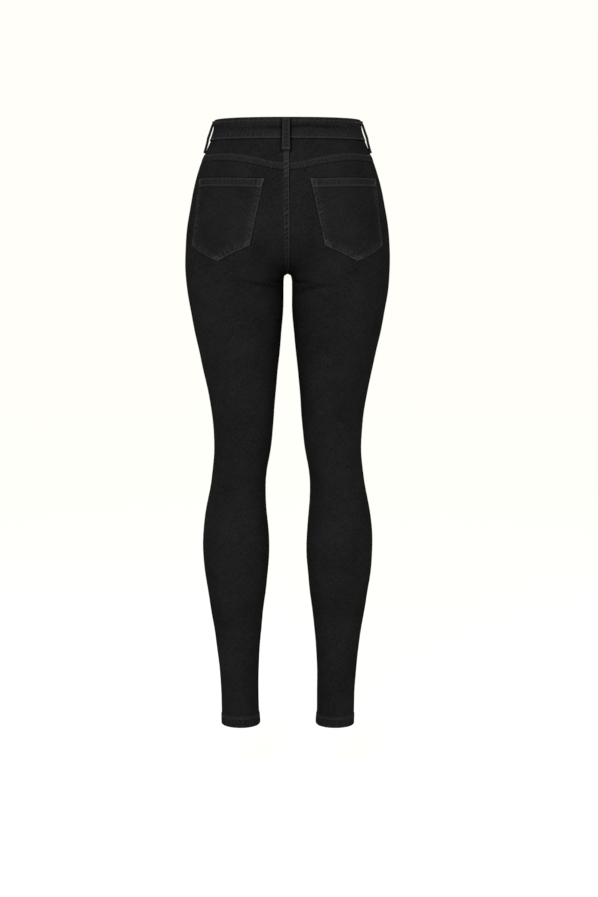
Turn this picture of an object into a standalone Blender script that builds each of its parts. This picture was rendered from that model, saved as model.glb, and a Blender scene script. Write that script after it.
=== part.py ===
"""High-waisted skinny jeans in the form they take when worn, with nobody inside.

Metres, +Z up. +X is the wearer's left and +Y the wearer's back. The origin is the centre of the
waist opening, at half the height of the waistband. A place on the cloth is a pair (turn, down):
turn runs round the wearer's left half, 0 at the centre back or inseam, 0.5 at the side seam and
1 at the centre front or inseam again, and down is the distance below the top of the waistband.
"""

from collections import namedtuple

import bpy
import numpy as np

# Heights, measured down from the top edge of the waistband
WAISTBAND_HEIGHT = 0.033
WAIST_TOP = WAISTBAND_HEIGHT / 2
CROTCH_DOWN = 0.2477
LEG_DOWN = 0.300
HEM_DOWN = 0.9955
HEM_BAND = 0.014

# Cloth
DENIM = 0.0012
BAND_THICK = 0.0026
BAND_PROUD = 0.0010
HEM_PROUD = 0.0010
SEAM_GAP = 0.0003
FELL_WIDTH = 0.0095
FELL_PROUD = 0.0008
FELL_SLOPE = 0.0015
FELL_SAMPLE_DOWN = 0.15
FELL_EASE = 1.05
FELL_FADE = 0.02
FELL_STOPS_ABOVE = 0.002
SIDE_BELOW_CROTCH = 0.012

# The yoke's lower edge, which dips to the centre back
YOKE_SIDE_DOWN = 0.0680
YOKE_DIP = 0.0160
YOKE_SPREAD = 1.16

# Front waist, which sits lower than the back
FRONT_DIP = 0.014
DIP_ENDS = 0.150

# How the hips become two legs
SPLIT_STARTS = 0.115
SPLIT_POWER = 3.4
SPLIT_SOFTNESS = 0.55
SOFT_BY_TURN = 0.22
CROTCH_CORNER = 0.010
CORNER_POWER = 2.5
TORSO_POWER = 2.3
LEG_POWER = 2.15

# One row for each section: half width at the side seam, distance of the inner leg from the
# centre plane, the furthest front and back, and the Y of the side seam and inseam
Section = namedtuple("Section", "down side inner front back seam")
SECTIONS = (
    Section(0.000, 0.1176, 0.0080, -0.090, 0.086, 0.000),
    Section(0.016, 0.1194, 0.0080, -0.092, 0.088, 0.000),
    Section(0.033, 0.1252, 0.0080, -0.096, 0.093, 0.000),
    Section(0.066, 0.1395, 0.0080, -0.104, 0.104, -0.001),
    Section(0.112, 0.1527, 0.0080, -0.111, 0.117, -0.003),
    Section(0.170, 0.1634, 0.0080, -0.113, 0.127, -0.005),
    Section(0.220, 0.1672, 0.0080, -0.108, 0.122, -0.006),
    Section(0.260, 0.1658, 0.0079, -0.101, 0.107, -0.006),
    Section(0.300, 0.1603, 0.0083, -0.095, 0.095, -0.005),
    Section(0.366, 0.1473, 0.0134, -0.086, 0.079, -0.005),
    Section(0.466, 0.1266, 0.0229, -0.074, 0.060, -0.006),
    Section(0.530, 0.1212, 0.0284, -0.066, 0.049, -0.007),
    Section(0.590, 0.1260, 0.0376, -0.058, 0.047, -0.004),
    Section(0.640, 0.1353, 0.0358, -0.050, 0.058, 0.002),
    Section(0.690, 0.1398, 0.0319, -0.044, 0.067, 0.006),
    Section(0.764, 0.1332, 0.0368, -0.038, 0.060, 0.008),
    Section(0.866, 0.1172, 0.0478, -0.033, 0.049, 0.008),
    Section(0.940, 0.1107, 0.0500, -0.031, 0.046, 0.008),
    Section(0.9955, 0.1092, 0.0482, -0.031, 0.048, 0.009),
)

# Soft troughs in the cloth: middle, half length and half width in turn and down, and depth.
# lean is how far the trough climbs over its half length
Crease = namedtuple("Crease", "leg turn down reach width depth lean")
CREASES = (
    Crease("left", 0.105, 0.268, 0.055, 0.0085, 0.0020, 0.007),
    Crease("left", 0.170, 0.284, 0.050, 0.0070, 0.0012, 0.004),
    Crease("right", 0.115, 0.270, 0.060, 0.0090, 0.0021, 0.008),
    Crease("right", 0.080, 0.287, 0.035, 0.0060, 0.0012, 0.003),
    Crease("left", 0.900, 0.262, 0.055, 0.0085, 0.0018, 0.010),
    Crease("right", 0.905, 0.258, 0.050, 0.0085, 0.0018, 0.011),
)

# Mesh steps
RISE_SAMPLES = 400
TURN_SAMPLES = 120
PANEL_COLUMNS = 11
RISE_ROWS = 11
LEG_ROWS = 27
LEG_ROW_CROWDING = 1.18
YOKE_ROWS = 3
BAND_COLUMNS = 44

# Patch pockets on the seat: distance round the cloth from the centre back, and down
POCKET_TOP = 0.0945
POCKET_INNER_DROP = 0.0030
POCKET_INNER_TOP = 0.0365
POCKET_OUTER_TOP = 0.1655
POCKET_INNER_LOW = 0.0595
POCKET_OUTER_LOW = 0.1735
POCKET_CORNER_DOWN = 0.2020
POCKET_TIP = 0.1185
POCKET_TIP_DOWN = 0.2275
POCKET_LIFT = 0.0006
POCKET_HEM = 0.013
POCKET_HEM_PROUD = 0.0006
POCKET_HEM_SLOPE = 0.015
POCKET_COLUMNS = 10
POCKET_ROWS = 7

# Belt loops
LOOP_WIDTH = 0.012
LOOP_THICK = 0.0024
LOOP_STARTS = 0.0008
LOOP_LENGTH = 0.052
LOOP_BOW = 0.0036
LOOP_BOW_POWER = 0.5
LOOP_BOW_TOP = 1.10
LOOP_BOW_FALL = 0.30
LOOP_LEAVES_BAND = 0.004
LOOP_MEETS_YOKE = 0.006
LOOP_EDGES = (-0.50, -0.17, 0.17, 0.50)
LOOP_STEPS = 14
LOOP_SIDE_TURN = 0.500
LOOP_FRONT_TURN = 0.800
LOOP_BACK_SHIFT = 0.0020

# The lapped ends of the waistband, measured from the centre front, and its shank button
FRONT_SAMPLE_TURN = 0.99
OVERLAP = 0.014
UNDERLAP = 0.024
LAP_RISE = 0.018
LAP_CLEAR = 0.002
BUTTON_RADIUS = 0.0085
BUTTON_THICK = 0.0032
BUTTON_SEGMENTS = 24

# Zip tape behind the front edges
ZIP_HALF_WIDTH = 0.014
ZIP_ENDS_DOWN = 0.150
ZIP_THICK = 0.0012
ZIP_TOP_GAP = 0.0009
ZIP_BEHIND = 0.0018
ZIP_ROWS = 8
ZIP_COLUMNS = 4

SHARP_ANGLE = np.radians(40)
CLOTH_BLACK = (0.013, 0.013, 0.013, 1.0)
GUNMETAL = (0.16, 0.16, 0.165, 1.0)


def natural_spline(xs, ys):
    """Returns a function through the points that bends smoothly from one to the next."""
    xs, ys = np.array(xs), np.array(ys)
    gaps = np.diff(xs)
    count = len(xs)
    matrix = np.eye(count)
    right = np.zeros(count)
    for k in range(1, count - 1):
        matrix[k, k - 1 : k + 2] = gaps[k - 1], 2 * (gaps[k - 1] + gaps[k]), gaps[k]
        slopes = (ys[k + 1] - ys[k]) / gaps[k] - (ys[k] - ys[k - 1]) / gaps[k - 1]
        right[k] = 6 * slopes
    bend = np.linalg.solve(matrix, right)

    def value(x):
        k = np.clip(np.searchsorted(xs, x) - 1, 0, count - 2)
        b = (x - xs[k]) / gaps[k]
        a = 1 - b
        curve = (a**3 - a) * bend[k] + (b**3 - b) * bend[k + 1]
        return a * ys[k] + b * ys[k + 1] + curve * gaps[k] ** 2 / 6

    return value


SPLINES = {
    column: natural_spline(
        [row.down for row in SECTIONS], [getattr(row, column) for row in SECTIONS]
    )
    for column in ("side", "inner", "front", "back", "seam")
}


def smooth_step(x):
    x = np.clip(x, 0, 1)
    return x * x * (3 - 2 * x)


def oval(angle, wide, deep, power):
    """A point of a rounded oval at this angle from +Y towards +X."""
    east, north = np.sin(angle), np.cos(angle)
    radius = (np.abs(east / wide) ** power + np.abs(north / deep) ** power) ** (-1 / power)
    return radius * east, radius * north


def torso_share(turn, down):
    """1 where the section is one oval round both hips, 0 where it is a leg of its own."""
    along = np.clip((down - SPLIT_STARTS) / (CROTCH_DOWN - SPLIT_STARTS), 0, None)
    left = 1 - along**SPLIT_POWER
    from_seam = np.minimum(turn, 1 - turn)
    soft = SPLIT_SOFTNESS * smooth_step(from_seam / SOFT_BY_TURN)
    share = np.sqrt(np.maximum(left + np.sqrt(left**2 + soft**4), 0) / 2)
    most = np.sqrt((1 + np.sqrt(1 + soft**4)) / 2)
    fade = 1 - smooth_step((down - CROTCH_DOWN) / (LEG_DOWN - CROTCH_DOWN))
    return share / most * fade


def surface(turn, down):
    """The outer face of the wearer's left half, before creases."""
    turn, down = np.broadcast_arrays(np.asarray(turn, float), np.asarray(down, float))
    side, inner, front, back, seam = (
        SPLINES[c](down) for c in ("side", "inner", "front", "back", "seam")
    )
    deep = np.where(np.cos(np.pi * turn) >= 0, back - seam, seam - front)
    torso_x, torso_y = oval(np.pi * turn, side, deep, TORSO_POWER)
    corner = np.clip((down - CROTCH_DOWN) / CROTCH_CORNER, 0, 1)
    inner = inner * (1 - (1 - corner) ** CORNER_POWER) ** (1 / CORNER_POWER)
    leg_x, leg_y = oval(np.pi * (2 * turn - 0.5), (side - inner) / 2, deep, LEG_POWER)
    share = torso_share(turn, down)
    x = share * torso_x + (1 - share) * (leg_x + (side + inner) / 2)
    y = share * torso_y + (1 - share) * leg_y + seam
    to_front = (1 - np.cos(2 * np.pi * (np.maximum(turn, 0.5) - 0.5))) / 2
    dip = FRONT_DIP * to_front * (1 - smooth_step(down / DIP_ENDS))
    return np.stack([x, y, WAIST_TOP - down - dip], -1)


def normal(turn, down):
    """The outward direction at a place on the cloth."""
    turn_step, down_step = 0.004, 0.002
    turn = np.clip(turn, turn_step, 1 - turn_step)
    round_it = surface(turn + turn_step, down) - surface(turn - turn_step, down)
    downwards = surface(turn, down + down_step) - surface(turn, down - down_step)
    out = np.cross(round_it, downwards)
    out /= np.linalg.norm(out, axis=-1, keepdims=True)
    return out


def crease_depth(leg, turn, down):
    """How far the cloth sinks here."""
    depth = np.zeros(np.broadcast(turn, down).shape)
    for crease in CREASES:
        if crease.leg != leg:
            continue
        along = (turn - crease.turn) / crease.reach
        middle = crease.down - crease.lean * along * np.sign(0.5 - crease.turn)
        across = (down - middle) / crease.width
        depth += crease.depth * np.exp(-(along**2) - across**2)
    return depth


def cloth(leg, turn, down, out=0.0):
    """A point this far out from the cloth's face, on the wearer's left or right."""
    lift = np.asarray(out) - crease_depth(leg, turn, down)
    point = surface(turn, down) + normal(turn, down) * lift[..., None]
    return point * (1 if leg == "left" else -1, 1, 1)


def yoke_line(turn):
    """How far down the yoke's lower edge is."""
    spread = np.clip(np.sin(np.pi * np.minimum(turn, 0.5)) * YOKE_SPREAD, 0, 1)
    return YOKE_SIDE_DOWN + YOKE_DIP * (1 + np.cos(np.pi * spread)) / 2


def turn_for(distance, down):
    """The turn that lies this far round the cloth from the centre back, at this height."""
    turns = np.linspace(0, 0.5, TURN_SAMPLES)
    points = surface(turns, np.full_like(turns, down))
    steps = np.linalg.norm(np.diff(points, axis=0), axis=1)
    return float(np.interp(distance, np.concatenate([[0], np.cumsum(steps)]), turns))


def turn_per_metre(turn, down):
    """How much turn one metre of cloth takes up here."""
    step = 0.002
    turn = np.clip(turn, step, 1 - step)
    span = surface(turn + step, down) - surface(turn - step, down)
    return 2 * step / np.linalg.norm(span, axis=-1)


def finish(name, colour, roughness, metallic=0.0):
    """A plain material of its own for one piece."""
    material = bpy.data.materials.new(name)
    material.use_nodes = True
    shader = material.node_tree.nodes["Principled BSDF"]
    shader.inputs["Base Color"].default_value = colour
    shader.inputs["Roughness"].default_value = roughness
    shader.inputs["Metallic"].default_value = metallic
    return material


def link(name, vertices, faces, collection):
    """Makes the object with its own material."""
    mesh = bpy.data.meshes.new(name)
    mesh.from_pydata([tuple(v) for v in vertices], [], faces)
    mesh.update()
    made = bpy.data.objects.new(name, mesh)
    collection.objects.link(made)
    mesh.materials.append(finish(name, CLOTH_BLACK, 0.9))
    mesh.shade_smooth()
    mesh.set_sharp_from_angle(angle=SHARP_ANGLE)
    return made


def wall(name, outside, inside, collection):
    """A cloth wall between two grids of points, closed round its rim."""
    rows, columns = outside.shape[:2]
    flip = np.cross(outside[1, 0] - outside[0, 0], outside[0, 1] - outside[0, 0])
    if flip @ (outside[0, 0] - inside[0, 0]) < 0:
        outside, inside = outside[:, ::-1], inside[:, ::-1]
    inner_start = rows * columns
    faces = []
    for i in range(rows - 1):
        for j in range(columns - 1):
            a = i * columns + j
            quad = (a, a + columns, a + columns + 1, a + 1)
            faces.append(quad)
            faces.append(tuple(v + inner_start for v in reversed(quad)))
    rim = list(range(columns))
    rim += [i * columns + columns - 1 for i in range(1, rows)]
    rim += [(rows - 1) * columns + j for j in range(columns - 2, -1, -1)]
    rim += [i * columns for i in range(rows - 2, 0, -1)]
    for a, b in zip(rim, rim[1:] + rim[:1]):
        faces.append((a, b, b + inner_start, a + inner_start))
    vertices = np.concatenate([outside.reshape(-1, 3), inside.reshape(-1, 3)])
    return link(name, vertices, faces, collection)


def rise_rows(first, back):
    """Downs of a panel's rows at the seam in the middle, evenly along the curve of the rise."""
    fine = np.linspace(first, CROTCH_DOWN, RISE_SAMPLES)
    points = surface(0.0 if back else 1.0, fine)
    steps = np.linalg.norm(np.diff(points, axis=0), axis=1)
    length = np.concatenate([[0], np.cumsum(steps)])
    return np.interp(np.linspace(0, length[-1], RISE_ROWS + 1), length, fine)


def leg_rows(first):
    """Downs of the rows below, closer together at the top, and a pair at the hem's edge."""
    share = np.linspace(0, 1, LEG_ROWS + 1)[1:] ** LEG_ROW_CROWDING
    hem_top = HEM_DOWN - HEM_BAND
    rows = first + share * (hem_top - FELL_SLOPE - first)
    return np.concatenate([rows, [hem_top, HEM_DOWN]])


def panel_turns(leg, back):
    """A panel's columns. On the left they start with the fell that laps over the right side."""
    from_seam = np.linspace(0, 0.5, PANEL_COLUMNS + 1)
    if leg == "left":
        fell = FELL_WIDTH * float(turn_per_metre(0.0, FELL_SAMPLE_DOWN))
        slope = FELL_SLOPE * float(turn_per_metre(0.0, FELL_SAMPLE_DOWN))
        from_seam = np.concatenate([[0, fell, fell + slope], from_seam[2:]])
    return from_seam if back else 1 - from_seam[::-1]


def fell_lift(leg, turns, downs, back):
    """How far the lapped edge in the middle of the garment stands proud."""
    if leg != "left":
        return np.zeros_like(downs)
    from_seam = turns if back else 1 - turns
    on_fell = from_seam < FELL_WIDTH * FELL_EASE * float(turn_per_metre(0.0, FELL_SAMPLE_DOWN))
    above = smooth_step((CROTCH_DOWN - FELL_STOPS_ABOVE - downs) / FELL_FADE)
    return FELL_PROUD * on_fell * above


def panel(name, leg, back, collection):
    """One leg panel, from the waistband or yoke to the hem, between its seams."""
    turns = panel_turns(leg, back)
    seam_turn = 0.0 if back else 1.0
    top = WAISTBAND_HEIGHT + SEAM_GAP
    first_middle = float(yoke_line(np.array(0.0))) + SEAM_GAP if back else top
    middle = np.concatenate([rise_rows(first_middle, back), leg_rows(CROTCH_DOWN)])
    first_side = YOKE_SIDE_DOWN + SEAM_GAP if back else top
    side_share = np.linspace(0, 1, RISE_ROWS + 1)
    side_turn_down = CROTCH_DOWN + SIDE_BELOW_CROTCH
    side = first_side + side_share * (side_turn_down - first_side)
    side = np.concatenate([side, leg_rows(side_turn_down)])
    from_middle = np.abs(turns - seam_turn) / 0.5
    mix = smooth_step(from_middle)
    downs = middle[:, None] * (1 - mix) + side[:, None] * mix
    if back:
        # The top row lies along the yoke, and the rows under it follow less and less
        sag = (yoke_line(turns) + SEAM_GAP) - downs[0]
        fade = 1 - smooth_step(np.arange(len(middle)) / RISE_ROWS)
        downs = downs + fade[:, None] * sag
    grid_turns = np.broadcast_to(turns, downs.shape).copy()
    edge = SEAM_GAP / 2
    grid_turns[:, 0] += edge * turn_per_metre(grid_turns[:, 0], downs[:, 0])
    grid_turns[:, -1] -= edge * turn_per_metre(grid_turns[:, -1], downs[:, -1])
    out = HEM_PROUD * smooth_step((downs - (HEM_DOWN - HEM_BAND - FELL_SLOPE)) / FELL_SLOPE)
    out = out + fell_lift(leg, turns, downs, back)
    outside = cloth(leg, grid_turns, downs, out)
    inside = cloth(leg, grid_turns, downs, np.full_like(downs, -DENIM))
    keep_apart(outside, leg)
    keep_apart(inside, leg)
    return wall(name, outside, inside, collection)


def keep_apart(points, leg):
    """Keeps a panel on its own side of the centre plane, half a seam gap clear of it."""
    sign = 1 if leg == "left" else -1
    points[..., 0] = sign * np.maximum(sign * points[..., 0], SEAM_GAP / 2)


def yoke(name, leg, collection):
    """The back yoke, whose lower edge is felled over the leg panel."""
    turns = panel_turns(leg, back=True)
    low = yoke_line(turns)
    top = WAISTBAND_HEIGHT + SEAM_GAP
    share = np.linspace(0, 1, YOKE_ROWS + 1)[:, None]
    fell_top = low - FELL_WIDTH
    downs = top + share * (fell_top - FELL_SLOPE - top)
    downs = np.concatenate([downs, fell_top[None], low[None]])
    grid_turns = np.broadcast_to(turns, downs.shape).copy()
    edge = SEAM_GAP / 2
    grid_turns[:, 0] += edge * turn_per_metre(grid_turns[:, 0], downs[:, 0])
    grid_turns[:, -1] -= edge * turn_per_metre(grid_turns[:, -1], downs[:, -1])
    out = fell_lift(leg, turns, downs, back=True)
    out[-2:] = FELL_PROUD
    outside = cloth(leg, grid_turns, downs, out)
    inside = cloth(leg, grid_turns, downs, np.full_like(downs, -DENIM))
    keep_apart(outside, leg)
    keep_apart(inside, leg)
    return wall(name, outside, inside, collection)


def band_point(turn, down, out):
    """A point on the waistband, whose turn runs from -1 to 1 round both sides."""
    face = surface(np.abs(turn), down)
    out_way = normal(np.abs(turn), down)
    mirror = np.where(turn < 0, -1.0, 1.0)
    point = face + out_way * out[..., None]
    point[..., 0] *= mirror
    return point


def waistband(collection):
    """One strip round the waist. Its left end laps over the right end at the centre front."""
    per_metre = float(turn_per_metre(FRONT_SAMPLE_TURN, WAISTBAND_HEIGHT / 2))
    under_end = -1 - UNDERLAP * per_metre
    over_end = 1 + OVERLAP * per_metre
    turns = np.linspace(under_end, over_end, BAND_COLUMNS + 1)
    rise_ends = 2 + under_end - LAP_CLEAR * per_metre
    rise_starts = rise_ends - LAP_RISE * per_metre
    lift = smooth_step((turns - rise_starts) / (rise_ends - rise_starts))
    lift = lift * (BAND_THICK + SEAM_GAP)
    downs = np.array([0.0, WAISTBAND_HEIGHT / 2, WAISTBAND_HEIGHT])[:, None]
    grid_turns, grid_downs = np.broadcast_arrays(turns[None], downs)
    wrapped = np.where(grid_turns > 1, grid_turns - 2, grid_turns)
    wrapped = np.where(wrapped < -1, wrapped + 2, wrapped)
    outside = band_point(wrapped, grid_downs, np.broadcast_to(BAND_PROUD + lift, grid_downs.shape))
    inside = band_point(
        wrapped, grid_downs, np.broadcast_to(BAND_PROUD - BAND_THICK + lift, grid_downs.shape)
    )
    return wall("waistband", outside, inside, collection)


def belt_loop(name, turn, across, proud, collection):
    """A folded strip sewn down at both ends and bowed out between. Across shifts it sideways.

    Proud is how far the cloth under its lower end stands out.
    """
    share = np.linspace(0, 1, LOOP_STEPS + 1)
    down = LOOP_STARTS + share * LOOP_LENGTH
    leaves = WAISTBAND_HEIGHT - LOOP_LEAVES_BAND
    past_band = smooth_step((down - leaves) / (LOOP_LEAVES_BAND + LOOP_MEETS_YOKE))
    rest = BAND_PROUD * (1 - past_band) + proud * past_band + SEAM_GAP
    arch = np.maximum(np.sin(np.pi * share), 0) ** LOOP_BOW_POWER
    under = rest + LOOP_BOW * arch * (LOOP_BOW_TOP - LOOP_BOW_FALL * share)
    edge = (np.array(LOOP_EDGES) * LOOP_WIDTH + across)[None]
    mirror = -1 if turn < 0 else 1
    turns = abs(turn) + edge * float(turn_per_metre(abs(turn), WAISTBAND_HEIGHT))
    turns, downs = np.broadcast_arrays(turns, down[:, None])
    inner = band_point(turns, downs, np.broadcast_to(under[:, None], downs.shape))
    outer = band_point(turns, downs, np.broadcast_to(under[:, None] + LOOP_THICK, downs.shape))
    for grid in (inner, outer):
        grid[..., 0] *= mirror
    return wall(name, outer, inner, collection)


def pocket(name, leg, collection):
    """A five-sided patch pocket that follows the seat, moved out from the panel's own points."""
    across = np.linspace(0, 1, POCKET_COLUMNS + 1)
    tip_share = (POCKET_TIP - POCKET_INNER_LOW) / (POCKET_OUTER_LOW - POCKET_INNER_LOW)
    across[np.abs(across - tip_share).argmin()] = tip_share
    hem_share = POCKET_HEM / (POCKET_CORNER_DOWN - POCKET_TOP)
    below_hem = np.linspace(hem_share, 1, POCKET_ROWS)[1:]
    along = np.concatenate([[0, hem_share, hem_share + POCKET_HEM_SLOPE], below_hem])
    turns = np.zeros((len(along), len(across)))
    downs = np.zeros_like(turns)
    for j, u in enumerate(across):
        reach = 1 - abs(u - tip_share) / (tip_share if u < tip_share else 1 - tip_share)
        top = POCKET_TOP + POCKET_INNER_DROP * (1 - u) ** 2
        low = POCKET_CORNER_DOWN + (POCKET_TIP_DOWN - POCKET_CORNER_DOWN) * reach
        for i, v in enumerate(along):
            start = POCKET_INNER_TOP + (POCKET_INNER_LOW - POCKET_INNER_TOP) * v
            end = POCKET_OUTER_TOP + (POCKET_OUTER_LOW - POCKET_OUTER_TOP) * v
            downs[i, j] = top + (low - top) * v
            turns[i, j] = turn_for(start + (end - start) * u, downs[i, j])
    out = np.full_like(turns, POCKET_LIFT)
    inside = cloth(leg, turns, downs, out)
    thick = np.full_like(turns, DENIM)
    thick[:2] += POCKET_HEM_PROUD
    outside = cloth(leg, turns, downs, out + thick)
    return wall(name, outside, inside, collection)


def zip_tape(collection):
    """A tape behind both front edges, moved in from the panels' own points."""
    downs = np.linspace(WAISTBAND_HEIGHT + ZIP_TOP_GAP, ZIP_ENDS_DOWN, ZIP_ROWS + 1)[:, None]
    across = np.linspace(-ZIP_HALF_WIDTH, ZIP_HALF_WIDTH, ZIP_COLUMNS + 1)[None]
    across, downs = np.broadcast_arrays(across, downs)
    turns = 1 - np.abs(across) * turn_per_metre(FRONT_SAMPLE_TURN, downs)
    turns = turns * np.where(across < 0, -1, 1)
    face = np.full(turns.shape, -ZIP_BEHIND)
    outside = band_point(turns, downs, face)
    inside = band_point(turns, downs, face - ZIP_THICK)
    return wall("zip_tape", outside, inside, collection)


def waist_button(collection):
    """A shank button's head at the centre front, turned from a profile with a dished face."""
    head = bpy.data.meshes.new("waist_button")
    radius, thick = BUTTON_RADIUS, BUTTON_THICK
    profile = (
        (0.0, thick * 0.80),
        (radius * 0.62, thick * 0.76),
        (radius * 0.74, thick),
        (radius * 0.90, thick * 0.95),
        (radius, thick * 0.62),
        (radius * 0.97, thick * 0.30),
        (radius * 0.60, 0.0),
        (0.0, 0.0),
    )
    edges = [(k, k + 1) for k in range(len(profile) - 1)]
    head.from_pydata([(x, 0.0, z) for x, z in profile], edges, [])
    made = bpy.data.objects.new("waist_button", head)
    collection.objects.link(made)
    turned = made.modifiers.new("turn", "SCREW")
    turned.steps = turned.render_steps = BUTTON_SEGMENTS
    turned.use_merge_vertices = True
    turned.merge_threshold = 0.00001
    turned.use_smooth_shade = True
    middle = np.array(WAISTBAND_HEIGHT / 2)
    lifted = np.array(BAND_PROUD + BAND_THICK + 3 * SEAM_GAP)
    facing = normal(np.array(1.0), middle)
    made.location = band_point(np.array(1.0), middle, lifted)
    made.rotation_euler = (np.arctan2(-facing[1], facing[2]), 0, 0)
    head.materials.append(finish("waist_button", GUNMETAL, 0.38, 0.9))
    return made


def main():
    for obj in list(bpy.data.objects):
        bpy.data.objects.remove(obj)
    collection = bpy.data.collections.new("skinny_jeans")
    bpy.context.scene.collection.children.link(collection)
    waistband(collection)
    for leg in ("left", "right"):
        yoke(f"yoke_{leg}", leg, collection)
        panel(f"back_leg_{leg}", leg, True, collection)
        panel(f"front_leg_{leg}", leg, False, collection)
        pocket(f"pocket_{leg}", leg, collection)
    belt_loop("belt_loop_back", 0.0, LOOP_BACK_SHIFT, FELL_PROUD, collection)
    belt_loop("belt_loop_left", LOOP_SIDE_TURN, 0.0, 0.0, collection)
    belt_loop("belt_loop_right", -LOOP_SIDE_TURN, 0.0, 0.0, collection)
    belt_loop("belt_loop_front_left", LOOP_FRONT_TURN, 0.0, 0.0, collection)
    belt_loop("belt_loop_front_right", -LOOP_FRONT_TURN, 0.0, 0.0, collection)
    waist_button(collection)
    zip_tape(collection)


main()
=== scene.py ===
# %% [markdown]
# # Black skinny jeans, seen from behind
# A pair of stretch jeans keeps the shape of whoever last wore them: a tight band, a seat with two
# patch pockets, and legs that follow thigh, knee and calf down to a narrow hem. Here they stand
# filled out with nobody inside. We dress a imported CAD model, which fixes every size and place,
# with fine cloth, sewn seams and real thread.

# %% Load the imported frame
import math
from collections import namedtuple
from functools import partial

import bpy
import numpy as np
from mathutils.bvhtree import BVHTree
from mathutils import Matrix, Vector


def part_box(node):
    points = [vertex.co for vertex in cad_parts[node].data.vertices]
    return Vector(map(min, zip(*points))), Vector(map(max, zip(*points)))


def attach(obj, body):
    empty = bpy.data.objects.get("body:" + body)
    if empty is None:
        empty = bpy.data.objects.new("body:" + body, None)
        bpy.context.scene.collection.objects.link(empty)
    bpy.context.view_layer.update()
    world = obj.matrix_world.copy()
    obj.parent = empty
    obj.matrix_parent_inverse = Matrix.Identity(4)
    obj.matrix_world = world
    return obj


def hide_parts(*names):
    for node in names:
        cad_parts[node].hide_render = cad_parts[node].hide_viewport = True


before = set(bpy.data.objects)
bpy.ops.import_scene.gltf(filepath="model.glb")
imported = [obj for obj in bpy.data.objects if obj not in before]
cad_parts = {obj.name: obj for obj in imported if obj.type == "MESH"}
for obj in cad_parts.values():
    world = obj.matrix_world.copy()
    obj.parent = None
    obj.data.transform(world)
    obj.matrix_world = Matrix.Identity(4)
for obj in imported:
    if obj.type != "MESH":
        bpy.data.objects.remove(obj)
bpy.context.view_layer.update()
print("CAD pieces:", ", ".join(sorted(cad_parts)))

# %% [markdown]
# ## Camera
# The photograph was taken from behind at seat height, from a little over three metres, with the
# camera tipped down slightly. The hems then curve down and the waist curves up, as rings do below
# and above the eye. A long lens keeps the legs from spreading.

# %% Place the camera
CAMERA_PLACE = (-0.0186, 3.300, -0.2075)
CAMERA_TILT = 5.41
CAMERA_LENS = 80.3

bpy.ops.object.camera_add(
    location=CAMERA_PLACE, rotation=(math.radians(90 - CAMERA_TILT), 0, math.radians(180))
)
camera = bpy.context.object
camera.data.lens = CAMERA_LENS
bpy.context.scene.camera = camera
print("camera", round(CAMERA_PLACE[1], 2), "m behind the waist, lens", CAMERA_LENS, "mm")

# %% [markdown]
# ## The garment's own sizes
# A pattern cutter works from a few measures: the waistband, the rise, the leg's width at each
# height. We repeat the ones that the CAD model was built from, in metres. Only the hem's band is
# a little deeper here. Places on the cloth are given as a turn, 0 at the centre back, 0.5 at the
# side seam and 1 at the centre front, and as a distance down from the top of the band. Below the
# crotch both ends of the turn are the inseam.

# %% Name the main measures
BAND_HEIGHT = 0.033
BAND_TOP = BAND_HEIGHT / 2
CROTCH_DOWN = 0.2477
LEG_DOWN = 0.300
HEM_DOWN = 0.9955
HEM_BAND = 0.0155
DENIM = 0.0011
SEAM_GAP = 0.00015

YOKE_SIDE_DOWN = 0.0680
YOKE_DIP = 0.0160
YOKE_SPREAD = 1.16

FRONT_DIP = 0.014
DIP_ENDS = 0.150
SPLIT_STARTS = 0.115
SPLIT_POWER = 3.4
SPLIT_SOFTNESS = 0.55
SOFT_BY_TURN = 0.22
CROTCH_CORNER = 0.010
CORNER_POWER = 2.5
SOFT_OPENING = 0.034
BESIDE_SEAM = 0.060
TORSO_POWER = 2.3
LEG_POWER = 2.15
HIP_DOWN = 0.190
KNEE_DOWN = 0.560
print("length", HEM_DOWN, "m, inseam", round(HEM_DOWN - CROTCH_DOWN, 3), "m")

# %% Half widths, depths and inner legs at each height
Section = namedtuple("Section", "down side inner front back seam")
SECTIONS = (
    Section(0.000, 0.1176, 0.0080, -0.090, 0.086, 0.000),
    Section(0.016, 0.1194, 0.0080, -0.092, 0.088, 0.000),
    Section(0.033, 0.1252, 0.0080, -0.096, 0.093, 0.000),
    Section(0.066, 0.1395, 0.0080, -0.104, 0.104, -0.001),
    Section(0.112, 0.1527, 0.0080, -0.111, 0.117, -0.003),
    Section(0.170, 0.1634, 0.0080, -0.113, 0.127, -0.005),
    Section(0.220, 0.1672, 0.0080, -0.108, 0.122, -0.006),
    Section(0.260, 0.1658, 0.0079, -0.101, 0.107, -0.006),
    Section(0.300, 0.1603, 0.0083, -0.095, 0.095, -0.005),
    Section(0.366, 0.1473, 0.0134, -0.086, 0.079, -0.005),
    Section(0.466, 0.1266, 0.0229, -0.074, 0.060, -0.006),
    Section(0.530, 0.1212, 0.0284, -0.066, 0.049, -0.007),
    Section(0.590, 0.1260, 0.0376, -0.058, 0.047, -0.004),
    Section(0.640, 0.1353, 0.0358, -0.050, 0.058, 0.002),
    Section(0.690, 0.1398, 0.0319, -0.044, 0.067, 0.006),
    Section(0.764, 0.1332, 0.0368, -0.038, 0.060, 0.008),
    Section(0.866, 0.1172, 0.0478, -0.033, 0.049, 0.008),
    Section(0.940, 0.1107, 0.0500, -0.031, 0.046, 0.008),
    Section(0.9955, 0.1092, 0.0482, -0.031, 0.048, 0.009),
)
print(len(SECTIONS), "sections from waist to hem")

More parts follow.
